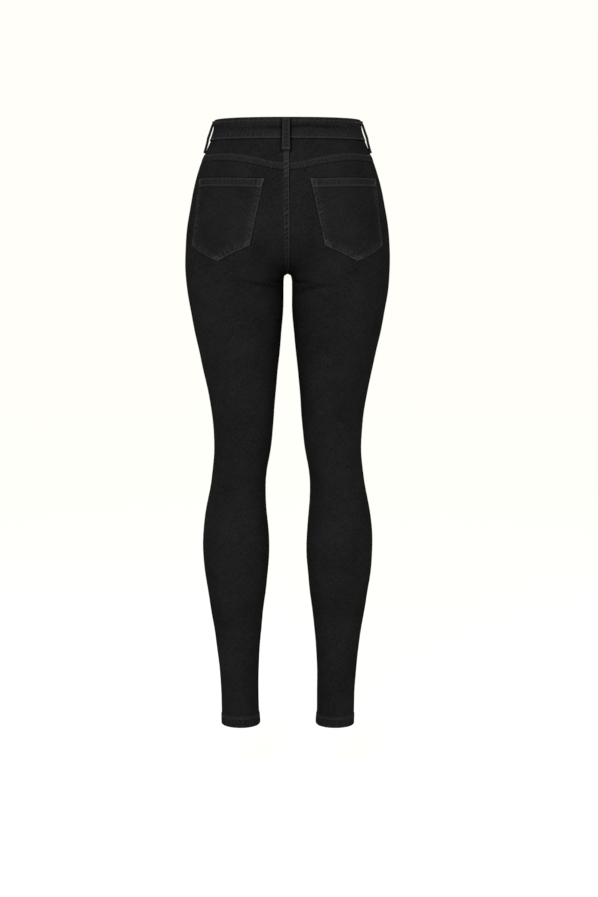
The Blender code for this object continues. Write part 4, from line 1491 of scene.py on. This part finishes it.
def stitches(points, raised, pitch=STITCH_PITCH, size=STITCH, crosswise=False, pieces=()):
    """Vertices of the stitches along a line. Raised is the same line a millimetre further out."""
    place, way, out = row_frames(points, raised, pitch)
    place = on_the_cloth(place, out, pieces)
    aside = np.cross(out, way)
    if crosswise:
        way, aside = aside, way
    shape = STITCH_SHAPE * (size, THREAD_WIDE, THREAD_HIGH)
    grown = shape[:, 0][None, :, None] * way[:, None]
    grown = grown + shape[:, 1][None, :, None] * aside[:, None]
    grown = grown + shape[:, 2][None, :, None] * out[:, None]
    return (place[:, None] + grown + out[:, None] * THREAD_HIGH * THREAD_PROUD).reshape(-1, 3)


def thread_piece(name, rows):
    """One mesh of all the stitches in these rows."""
    vertices = np.concatenate(rows)
    count = len(vertices) // len(STITCH_SHAPE)
    faces = [tuple(v + k * len(STITCH_SHAPE) for v in f) for k in range(count) for f in STITCH_FACES]
    mesh = bpy.data.meshes.new(name)
    mesh.from_pydata(vertices.tolist(), [], faces)
    mesh.shade_smooth()
    piece = bpy.data.objects.new(name, mesh)
    bpy.context.scene.collection.objects.link(piece)
    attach(piece, "root")
    print(f"{name}: {count} stitches")
    return piece


def sew(place, *line, **options):
    """A row of stitches on a piece. Place takes the line's coordinates and how far out to be."""
    on_it = place(*line, out=0.0)[0]
    above = place(*line, out=0.001)[0]
    return stitches(on_it, above, **options)


print("a stitch every", STITCH_PITCH * 1000, "mm")

# %% Sew the waistband, yoke and centre seams
LINE = 600
BAND_LINE = 1400
LAP_SEWN = 0.9
YOKE_ROW_TURNS = (0.006, 0.498)
UNDER_LOOP = 0.0560
FLY_END = FLY_DOWN + 0.002
threads = []


def band_place(turns, downs, out=0.0):
    """A point on the band's face, and its wear."""
    height, wear = band_relief(turns, downs)
    return band_point(turns, downs, BAND_PROUD + height + lap_lift(turns) + out), wear


under_end = -1 - LAP_SEWN * UNDERLAP * FRONT_RATE
over_end = 1 + LAP_SEWN * OVERLAP * FRONT_RATE
band_line = np.linspace(under_end, over_end, BAND_LINE)
rows = [sew(band_place, band_line, np.full_like(band_line, d), pieces=[band]) for d in BAND_STITCHES]
threads.append(thread_piece("band_thread", rows))

rows = []
turns = np.linspace(*YOKE_ROW_TURNS, LINE)
for leg in ("left", "right"):
    for up in FELL_ROWS:
        rows.append(sew(partial(yoke_place, leg), turns, yoke_line(turns) - up))
threads.append(thread_piece("yoke_thread", rows))

rows = []
for front, fell_top, first in ((False, UNDER_BAND, UNDER_LOOP), (True, FLY_DOWN, FLY_END)):
    downs, length = seam_downs(first, CROTCH_DOWN - CROTCH_SHORT, front, LINE)
    start = seam_downs(fell_top, first, front, 10)[1]
    along = start + np.linspace(0, length, LINE + 1)
    for across in SEAT_FELL_ROWS:
        rows.append(sew(partial(fell_place, front=front), np.full_like(downs, across), downs, along))
threads.append(thread_piece("centre_thread", rows))

# %% Sew the pockets and the belt loops
INNER_ROW_SUNK = 0.00030
POCKET_ROW_ENDS = 0.0015
HEM_ROW_ENDS = (0.004, 0.003)
LOOP_ROW_ENDS = 0.003


def pocket_path(inset):
    """The line this far inside the pocket's sides and tip, from one top corner to the other."""
    ways = np.diff(POCKET_CORNERS, axis=0)
    ways /= np.linalg.norm(ways, axis=1, keepdims=True)
    inward = np.stack([ways[:, 1], -ways[:, 0]], 1)
    corners = [POCKET_CORNERS[0] + inward[0] * inset + ways[0] * POCKET_ROW_ENDS]
    for k in range(3):
        bisect = inward[k] + inward[k + 1]
        corners.append(POCKET_CORNERS[k + 1] + bisect * inset / (1 + inward[k] @ inward[k + 1]))
    corners.append(POCKET_CORNERS[4] + inward[3] * inset - ways[3] * POCKET_ROW_ENDS)
    corners = np.array(corners)
    lengths = lengths_along(corners)
    places = np.linspace(0, lengths[-1], LINE)
    return np.interp(places, lengths, corners[:, 0]), np.interp(places, lengths, corners[:, 1])


def sunk_place(leg, sunk, across, down, out=0.0):
    """A point this far below the pocket's face, and its wear."""
    return pocket_place(leg, across, down, out - sunk)


rows = []
hem_line = np.linspace(POCKET_INNER_TOP + HEM_ROW_ENDS[0], POCKET_OUTER_TOP - HEM_ROW_ENDS[1], LINE // 3)
for leg in ("left", "right"):
    for inset, sunk in zip(POCKET_ROWS, (0.0, INNER_ROW_SUNK)):
        rows.append(sew(partial(sunk_place, leg, sunk), *pocket_path(inset)))
    for drop in POCKET_HEM_ROWS:
        rows.append(sew(partial(pocket_place, leg), hem_line, pocket_top(hem_line) + drop))
threads.append(thread_piece("pocket_thread", rows))

rows = []
downs = np.linspace(LOOP_ROW_ENDS, LOOP_LENGTH - LOOP_ROW_ENDS, 80)
for loop in LOOPS:
    for across in LOOP_ROWS:
        rows.append(sew(partial(loop_place, loop), np.full_like(downs, across), downs))
threads.append(thread_piece("loop_thread", rows))

# %% Sew the hems and the inseams
INSEAM_ROW = 0.0024
INSEAM_STARTS = CROTCH_DOWN + 0.016
HEM_LINE = 900
INSEAM_LINE = 1200

rows = []
hem_turns = np.linspace(0.002, 0.998, HEM_LINE)
hem_downs = np.full_like(hem_turns, HEM_DOWN - HEM_BAND + HEM_STITCH)
inseam_downs = np.linspace(INSEAM_STARTS, HEM_DOWN - HEM_BAND, INSEAM_LINE)
inseam_turns = INSEAM_ROW * turn_per_metre(0.0, inseam_downs)
for leg in ("left", "right"):
    both = [panels["back_leg_" + leg], panels["front_leg_" + leg]]
    rows.append(sew(partial(panel_place, leg), hem_turns, hem_downs, pieces=both))
    rows.append(sew(partial(panel_place, leg), inseam_turns, inseam_downs, pieces=both))
threads.append(thread_piece("leg_thread", rows))

# %% Sew the J of the fly
FLY_GAP = 0.0062
FLY_EDGE_ROW = 0.0022
FLY_STARTS = BAND_HEIGHT + 0.001


def fly_path(width):
    """Distance from the centre front, and down, along the J."""
    bend = FLY_DOWN - FLY_TURN_IN - (FLY_WIDTH - width)
    straight = np.linspace(FLY_STARTS, bend, 120)
    angles = np.linspace(0, np.pi / 2, 60)
    aside = np.concatenate([np.full_like(straight, width), width * np.cos(angles)])
    return aside, np.concatenate([straight, bend + FLY_TURN_IN * np.sin(angles)])


rows = []
edge_downs = np.linspace(FLY_STARTS, FLY_DOWN, 200)
edge_line = np.full_like(edge_downs, FLY_EDGE_ROW), edge_downs
for aside, downs in (fly_path(FLY_WIDTH), fly_path(FLY_WIDTH - FLY_GAP), edge_line):
    turns = 1 - aside * turn_per_metre(FLY_TURN, downs)
    rows.append(sew(partial(panel_place, "left"), turns, downs, pieces=[panels["front_leg_left"]]))
threads.append(thread_piece("fly_thread", rows))

# %% [markdown]
# ## Bar tacks
# Where a seam takes a sudden pull, a short block of dense zigzag locks it: both ends of each belt
# loop, the pockets' top corners and the foot of the fly. Up close a tack is a ladder of threads
# lying side by side, so it is the same stitch again, turned across its line and packed tight.

# %% Tack the stress points
TACK_PITCH = 0.00062
TACK_WIDE = 0.0021
TACK_SAMPLES = 20
LOOP_TACK_HALF = LOOP_WIDTH / 2 - 0.0008
LOOP_TACKS = (0.0030, LOOP_LENGTH - 0.0022)
CORNER_TACK_IN = 0.0022
CORNER_TACK_LEAN = 0.0018
CORNER_TACK_DOWNS = (0.0015, 0.0095)
FLY_TACK = ((0.985, 0.1500), (0.992, 0.1590))
HOLE_FROM = 0.004
HOLE_TO = 0.012
HOLE_HALF = 0.0013


def tack(place, start, end):
    """A bar of close stitches between two places on a piece."""
    share = np.linspace(0, 1, TACK_SAMPLES)
    line = [a + (b - a) * share for a, b in zip(start, end)]
    return sew(place, *line, pitch=TACK_PITCH, size=TACK_WIDE, crosswise=True)


rows = []
for loop in LOOPS:
    for down in LOOP_TACKS:
        rows.append(tack(partial(loop_place, loop), (-LOOP_TACK_HALF, down), (LOOP_TACK_HALF, down)))
for leg in ("left", "right"):
    for across, down in (POCKET_CORNERS[0], POCKET_CORNERS[4]):
        toward = 1 if across < POCKET_TIP else -1
        near = across + toward * CORNER_TACK_IN
        top, low = (down + drop for drop in CORNER_TACK_DOWNS)
        start, end = (near, top), (near + toward * CORNER_TACK_LEAN, low)
        rows.append(tack(partial(pocket_place, leg), start, end))
rows.append(tack(partial(panel_place, "left"), *FLY_TACK))
for aside in (-HOLE_HALF, HOLE_HALF):
    down = BAND_HEIGHT / 2 + aside
    start, end = 1 - HOLE_FROM * FRONT_RATE, 1 + HOLE_TO * FRONT_RATE
    rows.append(tack(band_place, (start, down), (end, down)))
threads.append(thread_piece("bar_tacks", rows))

# %% [markdown]
# ## Button and zip
# The waist closes with a metal shank button through the lapped end of the band, and the fly with a
# zip whose tape is sewn behind the front edges. The photograph shows neither, so both are plain.
# The button starts as a cylinder whose face is inset and pushed in, with its rims bevelled.

# %% Turn the button
BUTTON_RADIUS = 0.0085
BUTTON_THICK = 0.0032
BUTTON_DISH = 0.0009
BUTTON_RIM = 0.20
BUTTON_STEP = 0.12
BUTTON_BOSS = 0.44
BUTTON_BOSS_RISE = 0.35
BUTTON_ROUND = 0.0004
BUTTON_SMOOTH = 40

deselect_all()
low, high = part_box("waist_button")
button_middle = (low + high) / 2
facing = normal(np.array(1.0), np.array(BAND_HEIGHT / 2))
bpy.ops.mesh.primitive_cylinder_add(vertices=96, radius=BUTTON_RADIUS, depth=BUTTON_THICK)
button = bpy.context.object
button.name = button.data.name = "shank_button"
bpy.ops.object.mode_set(mode="EDIT")
bpy.ops.mesh.select_mode(type="FACE")
bpy.ops.mesh.select_all(action="DESELECT")
bpy.ops.object.mode_set(mode="OBJECT")
for face in button.data.polygons:
    face.select = face.normal.z > 0.9
bpy.ops.object.mode_set(mode="EDIT")
bpy.ops.mesh.inset(thickness=BUTTON_RADIUS * BUTTON_RIM)
bpy.ops.mesh.inset(thickness=BUTTON_RADIUS * BUTTON_STEP)
bpy.ops.transform.translate(value=(0, 0, -BUTTON_DISH))
bpy.ops.mesh.inset(thickness=BUTTON_RADIUS * BUTTON_BOSS)
bpy.ops.transform.translate(value=(0, 0, BUTTON_DISH * BUTTON_BOSS_RISE))
bpy.ops.object.mode_set(mode="OBJECT")
rounding = button.modifiers.new("rounding", "BEVEL")
rounding.width = BUTTON_ROUND
rounding.segments = 3
rounding.limit_method = "ANGLE"
bpy.ops.object.modifier_apply(modifier="rounding")
bpy.ops.object.shade_smooth_by_angle(angle=math.radians(BUTTON_SMOOTH))
button.rotation_euler = (math.atan2(-facing[1], facing[2]), 0, 0)
button.location = button_middle
bpy.ops.object.transform_apply(location=True, rotation=True, scale=True)
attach(button, "root")
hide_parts("waist_button")
print("button faces", len(button.data.polygons), "at", [round(c, 4) for c in button_middle])

# %% Lay the zip tape
ZIP_HALF = 0.014
ZIP_STARTS = BAND_HEIGHT + 0.001
ZIP_ENDS = 0.150
ZIP_BEHIND = 0.0021
ZIP_THICK = 0.0008
ZIP_TURN = 0.99


def zip_place(across, downs, out=0.0):
    """A point on the tape's outer face, behind the front panels."""
    turns = 1 - np.abs(across) * turn_per_metre(ZIP_TURN, downs)
    turns = turns * np.where(across < 0, -1, 1)
    return band_point(turns, downs, np.full_like(turns, out - ZIP_BEHIND))


across, downs = np.broadcast_arrays(
    np.linspace(-ZIP_HALF, ZIP_HALF, 13)[None], np.linspace(ZIP_STARTS, ZIP_ENDS, 60)[:, None]
)
points = zip_place(across, downs)
facing = normal(np.array(ZIP_TURN), np.array((ZIP_STARTS + ZIP_ENDS) / 2))
tape = cloth_piece("zip_tape_cloth", points, facing, thick=ZIP_THICK)
declare(tape, points, "stretched", "zip_tape")

# %% Set the zip's teeth
TOOTH = (0.0052, 0.0011, 0.0010)
TOOTH_PITCH = 0.0021
TOOTH_ASIDE = 0.0007
TOOTH_BEHIND = 0.0006
TEETH_START = BAND_HEIGHT + 0.003
TEETH_END = ZIP_ENDS - 0.008

deselect_all()
bpy.ops.mesh.primitive_cube_add(size=1)
tooth = bpy.context.object
TOOTH_SHAPE = (np.array([v.co for v in tooth.data.vertices]) * TOOTH)[:, [0, 2, 1]]
TOOTH_FACES = [tuple(p.vertices) for p in tooth.data.polygons]
bpy.data.objects.remove(tooth)
tooth_downs = np.arange(TEETH_START, TEETH_END, TOOTH_PITCH)
vertices, faces = [], []
for k, down in enumerate(tooth_downs):
    aside = TOOTH_ASIDE if k % 2 else -TOOTH_ASIDE
    centre = zip_place(np.array(aside), np.array(down), out=-ZIP_THICK - TOOTH_BEHIND)
    faces += [tuple(v + len(vertices) for v in face) for face in TOOTH_FACES]
    vertices += (centre + TOOTH_SHAPE).tolist()
mesh = bpy.data.meshes.new("zip_teeth")
mesh.from_pydata(vertices, [], faces)
teeth = bpy.data.objects.new("zip_teeth", mesh)
bpy.context.scene.collection.objects.link(teeth)
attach(teeth, "root")
print(len(tooth_downs), "teeth on the tape")

# %% [markdown]
# ## Black denim
# Denim is a twill: the dyed warp passes over three threads and under one, so fine ribs climb
# across the cloth. Overdyed black hides them at a distance, and what is left is a matt, slightly
# uneven black that greys where it rubs. The ribs follow the UV map, which is in metres of cloth, so
# they stay the right size on every piece. The worn-and-shaded attribute mixes in the greyed dye
# where it is above 0 and painted shade where it is below 0, and the colour is also painted darker
# beside the edge of a piece lying over, as shade.

# %% Helpers for node trees


def new_material(name, **inputs):
    """A material with its shader's plain inputs set, whose names have _ for a space."""
    material = bpy.data.materials.new(name)
    material.use_nodes = True
    nodes, links = material.node_tree.nodes, material.node_tree.links
    shader = nodes["Principled BSDF"]
    for key, value in inputs.items():
        shader.inputs[key.replace("_", " ")].default_value = value
    return material, nodes, links, shader


def node(nodes, kind, **inputs):
    """Adds a node and sets the inputs that are given, whose names have _ for a space."""
    made = nodes.new(kind)
    for key, value in inputs.items():
        made.inputs[key.replace("_", " ")].default_value = value
    return made


def math_node(nodes, links, operation, first, second):
    """A maths node between a socket and a socket or number."""
    made = nodes.new("ShaderNodeMath")
    made.operation = operation
    for k, value in enumerate((first, second)):
        if isinstance(value, (int, float)):
            made.inputs[k].default_value = value
        else:
            links.new(value, made.inputs[k])
    return made.outputs[0]


def noise_on(nodes, links, place, **inputs):
    """A noise pattern laid by these coordinates."""
    noise = node(nodes, "ShaderNodeTexNoise", **inputs)
    links.new(place, noise.inputs["Vector"])
    return noise.outputs["Fac"]


def two_tones(nodes, links, pattern, deep, pale):
    """A colour that passes from deep to pale as the pattern rises from 0 to 1."""
    tones = nodes.new("ShaderNodeValToRGB")
    tones.color_ramp.elements[0].color = (*deep, 1)
    tones.color_ramp.elements[1].color = (*pale, 1)
    links.new(pattern, tones.inputs["Fac"])
    return tones.outputs["Color"]


# %% Weave the denim
RIB_PITCH = 0.00078
RIB_ANGLE = 63

denim, nodes, links, shader = new_material("black_denim", Roughness=0.92, Specular_IOR_Level=0.0)
weave = nodes.new("ShaderNodeUVMap")
weave.uv_map = "weave"
turned = node(nodes, "ShaderNodeMapping", Rotation=(0, 0, math.radians(RIB_ANGLE)))
links.new(weave.outputs["UV"], turned.inputs["Vector"])
ribs = node(nodes, "ShaderNodeTexWave", Scale=1 / RIB_PITCH / 2, Distortion=1.2, Detail=2.0)
links.new(turned.outputs["Vector"], ribs.inputs["Vector"])
place = nodes.new("ShaderNodeTexCoord")
print("a rib every", RIB_PITCH * 1000, "mm")

# %% Dye the yarns unevenly
DENIM_SHADE = 0.155
MOTTLES = ((16.0, 0.21), (70.0, 0.10), (600.0, 0.22))
YARN_SCALE = 900.0
YARNS = (((1, 0.20, 1), 0.50), ((0.30, 1, 1), 0.32))
SLUB_SCALE = 1100.0
SLUB_STRENGTH = 0.30
RIB_STRENGTH = 0.10


def uneven(pattern, strength):
    """The pattern as a value around 0, of this strength."""
    centred = math_node(nodes, links, "SUBTRACT", pattern, 0.5)
    return math_node(nodes, links, "MULTIPLY", centred, strength)


def mottle(scale):
    """Cloudy dye at one scale."""
    return noise_on(nodes, links, place.outputs["Object"], Scale=scale, Detail=3.0, Roughness=0.6)


def yarn(stretch):
    """Uneven yarns, drawn out along the warp or the weft."""
    drawn = node(nodes, "ShaderNodeMapping", Scale=stretch)
    links.new(weave.outputs["UV"], drawn.inputs["Vector"])
    return noise_on(nodes, links, drawn.outputs["Vector"], Scale=YARN_SCALE, Detail=2.0, Roughness=0.6)


slubs = mottle(SLUB_SCALE)
shades = [uneven(mottle(scale), strength) for scale, strength in MOTTLES]
shades += [uneven(yarn(stretch), strength) for stretch, strength in YARNS]
shades += [uneven(slubs, SLUB_STRENGTH), uneven(ribs.outputs["Fac"], RIB_STRENGTH)]
dye = math_node(nodes, links, "ADD", shades[0], DENIM_SHADE)
for shade in shades[1:]:
    dye = math_node(nodes, links, "ADD", dye, shade)
print(len(shades), "kinds of unevenness in the dye")

# %% Grey the worn places and paint shade in the creases and beside the edges of pieces lying over
DENIM_DEEP = (0.0028, 0.00285, 0.00292, 1.0)
DENIM_WORN = (0.0345, 0.0353, 0.0354, 1.0)
WEAR_AND_SHADE_STRENGTH = 0.45
# where the painted shade beside an overlying edge starts and ends, and how dark it gets
CREASE_STARTS = 0.0003
CREASE_WIDTH = 0.0021
CREASE_SHADE = 0.35
RIB_HEIGHT = 0.00012
# a Mix node has sockets of the same name for each kind of value, so these go by number
SHARE_IN, DEEP_IN, WORN_IN, COLOUR_OUT = 0, 6, 7, 2

# this attribute holds wear above 0 and painted shade below 0, in grooves, creases and under edges
wear = nodes.new("ShaderNodeAttribute")
wear.attribute_name = "wear"
rubbed = math_node(nodes, links, "MULTIPLY", wear.outputs["Fac"], WEAR_AND_SHADE_STRENGTH)
colour = nodes.new("ShaderNodeMix")
colour.data_type = "RGBA"
colour.clamp_factor = True
links.new(math_node(nodes, links, "ADD", dye, rubbed), colour.inputs[SHARE_IN])
colour.inputs[DEEP_IN].default_value = DENIM_DEEP
colour.inputs[WORN_IN].default_value = DENIM_WORN

# painted shade: the colour is darkened close to the edge of a piece lying over it
shade_gap = nodes.new("ShaderNodeAttribute")
shade_gap.attribute_name = "shade_gap"
painted_gap_shade = node(
    nodes, "ShaderNodeMapRange", From_Min=CREASE_STARTS, From_Max=CREASE_WIDTH, To_Min=CREASE_SHADE
)
painted_gap_shade.interpolation_type = "SMOOTHSTEP"
links.new(shade_gap.outputs["Fac"], painted_gap_shade.inputs["Value"])
gap_shaded_colour = nodes.new("ShaderNodeVectorMath")
gap_shaded_colour.operation = "SCALE"
links.new(colour.outputs[COLOUR_OUT], gap_shaded_colour.inputs[0])
links.new(painted_gap_shade.outputs["Result"], gap_shaded_colour.inputs["Scale"])
links.new(gap_shaded_colour.outputs["Vector"], shader.inputs["Base Color"])

relief = math_node(nodes, links, "ADD", ribs.outputs["Fac"], slubs)
bump = node(nodes, "ShaderNodeBump", Strength=0.5, Distance=RIB_HEIGHT)
links.new(relief, bump.inputs["Height"])
links.new(bump.outputs["Normal"], shader.inputs["Normal"])
print("denim nodes", len(nodes))

# %% Thread
THREAD_DEEP = (0.012, 0.012, 0.012)
THREAD_PALE = (0.034, 0.034, 0.034)

thread, nodes, links, shader = new_material("black_thread", Roughness=0.60, Specular_IOR_Level=0.08)
place = nodes.new("ShaderNodeTexCoord")
faded = noise_on(nodes, links, place.outputs["Object"], Scale=220.0, Detail=1.0)
links.new(two_tones(nodes, links, faded, THREAD_DEEP, THREAD_PALE), shader.inputs["Base Color"])
print("thread between", THREAD_DEEP[0], "and", THREAD_PALE[0])

# %% Gunmetal for the button and the zip's teeth
METAL_DEEP = (0.13, 0.13, 0.135)
METAL_PALE = (0.20, 0.20, 0.205)
METAL_ROUGH = 0.28
METAL_ROUGH_SPREAD = 0.2

gunmetal, nodes, links, shader = new_material("gunmetal", Metallic=1.0)
place = nodes.new("ShaderNodeTexCoord")
brushed = noise_on(nodes, links, place.outputs["Object"], Scale=900.0, Detail=3.0)
links.new(two_tones(nodes, links, brushed, METAL_DEEP, METAL_PALE), shader.inputs["Base Color"])
scratches = math_node(nodes, links, "MULTIPLY", brushed, METAL_ROUGH_SPREAD)
roughness = math_node(nodes, links, "ADD", scratches, METAL_ROUGH)
links.new(roughness, shader.inputs["Roughness"])
print("metal between", METAL_DEEP[0], "and", METAL_PALE[0])

# %% Woven tape
TAPE_DEEP = (0.006, 0.006, 0.006)
TAPE_PALE = (0.016, 0.016, 0.016)

tape_cloth, nodes, links, shader = new_material("woven_tape", Roughness=0.85)
weave = nodes.new("ShaderNodeUVMap")
weave.uv_map = "weave"
herringbone = node(nodes, "ShaderNodeTexWave", Scale=700.0, Distortion=0.5)
links.new(weave.outputs["UV"], herringbone.inputs["Vector"])
woven = two_tones(nodes, links, herringbone.outputs["Fac"], TAPE_DEEP, TAPE_PALE)
links.new(woven, shader.inputs["Base Color"])
print("materials", [m.name for m in (denim, thread, gunmetal, tape_cloth)])

# %% Give each piece its finish


def finish(piece, material):
    """Makes this the piece's only material."""
    piece.data.materials.clear()
    piece.data.materials.append(material)


cloths = [*panels.values(), *yokes, back_fell, front_fell, band, *pockets, *belt_loops]
for piece in cloths:
    finish(piece, denim)
for piece in threads:
    finish(piece, thread)
for piece in (button, teeth):
    finish(piece, gunmetal)
finish(tape, tape_cloth)
print(len(cloths), "pieces of denim,", len(threads), "of thread")

# %% [markdown]
# ## Floor and light
# The photograph is a cut-out on a warm white, lit softly and mostly from the camera's side. A
# pale floor and a warm white surround give the same even ground from every angle. One large soft
# lamp above the camera's left shoulder brings out the seams, a weaker one fills in from its right,
# and two low lamps on the far side of the legs graze their edges.

# %% Lay the floor and the surround
FLOOR_SIZE = 24
FLOOR_DOWN = 0.090
FLOOR_GREY = (0.40, 0.40, 0.40, 1)
CREAM = (1.0, 0.9915, 0.9395, 1)
FLOOR_GLOW = 0.60

deselect_all()
floor_level = BAND_TOP - HEM_DOWN - FLOOR_DOWN
bpy.ops.mesh.primitive_plane_add(size=FLOOR_SIZE, location=(0, 0, floor_level))
floor = bpy.context.object
floor.name = "floor"
paper = new_material(
    "paper",
    Base_Color=FLOOR_GREY,
    Roughness=1.0,
    Specular_IOR_Level=0.0,
    Emission_Color=CREAM,
    Emission_Strength=FLOOR_GLOW,
)[0]
finish(floor, paper)

world = bpy.data.worlds.new("surround")
world.use_nodes = True
surround = world.node_tree.nodes["Background"]
surround.inputs["Color"].default_value = CREAM
surround.inputs["Strength"].default_value = 1.0
bpy.context.scene.world = world
bpy.context.scene.view_settings.view_transform = "Standard"
print("floor", round(floor_level, 3), "m up")

# %% Place the lamps
LAMPS_FACE = (0, 0, -0.15)
LAMP_SPREAD = 70
Lamp = namedtuple("Lamp", "name place size watts")
LAMPS = (
    Lamp("key", (0.6, 3.0, 0.9), 1.3, 14.0),
    Lamp("fill", (-1.6, 2.6, 0.5), 1.8, 3.0),
    Lamp("left rim", (1.6, -2.2, -0.7), 1.2, 9.0),
    Lamp("right rim", (-1.6, -2.2, -0.7), 1.2, 9.0),
)
for lamp in LAMPS:
    bpy.ops.object.light_add(type="AREA", location=lamp.place)
    light = bpy.context.object
    light.name = lamp.name
    light.data.size = lamp.size
    light.data.energy = lamp.watts
    light.data.spread = math.radians(LAMP_SPREAD)
    toward = np.array(LAMPS_FACE) - np.array(lamp.place)
    turn = math.atan2(toward[0], -toward[1])
    light.rotation_euler = (math.atan2(math.hypot(*toward[:2]), -toward[2]), 0, turn + math.pi)
    print(lamp.name, lamp.watts, "W")
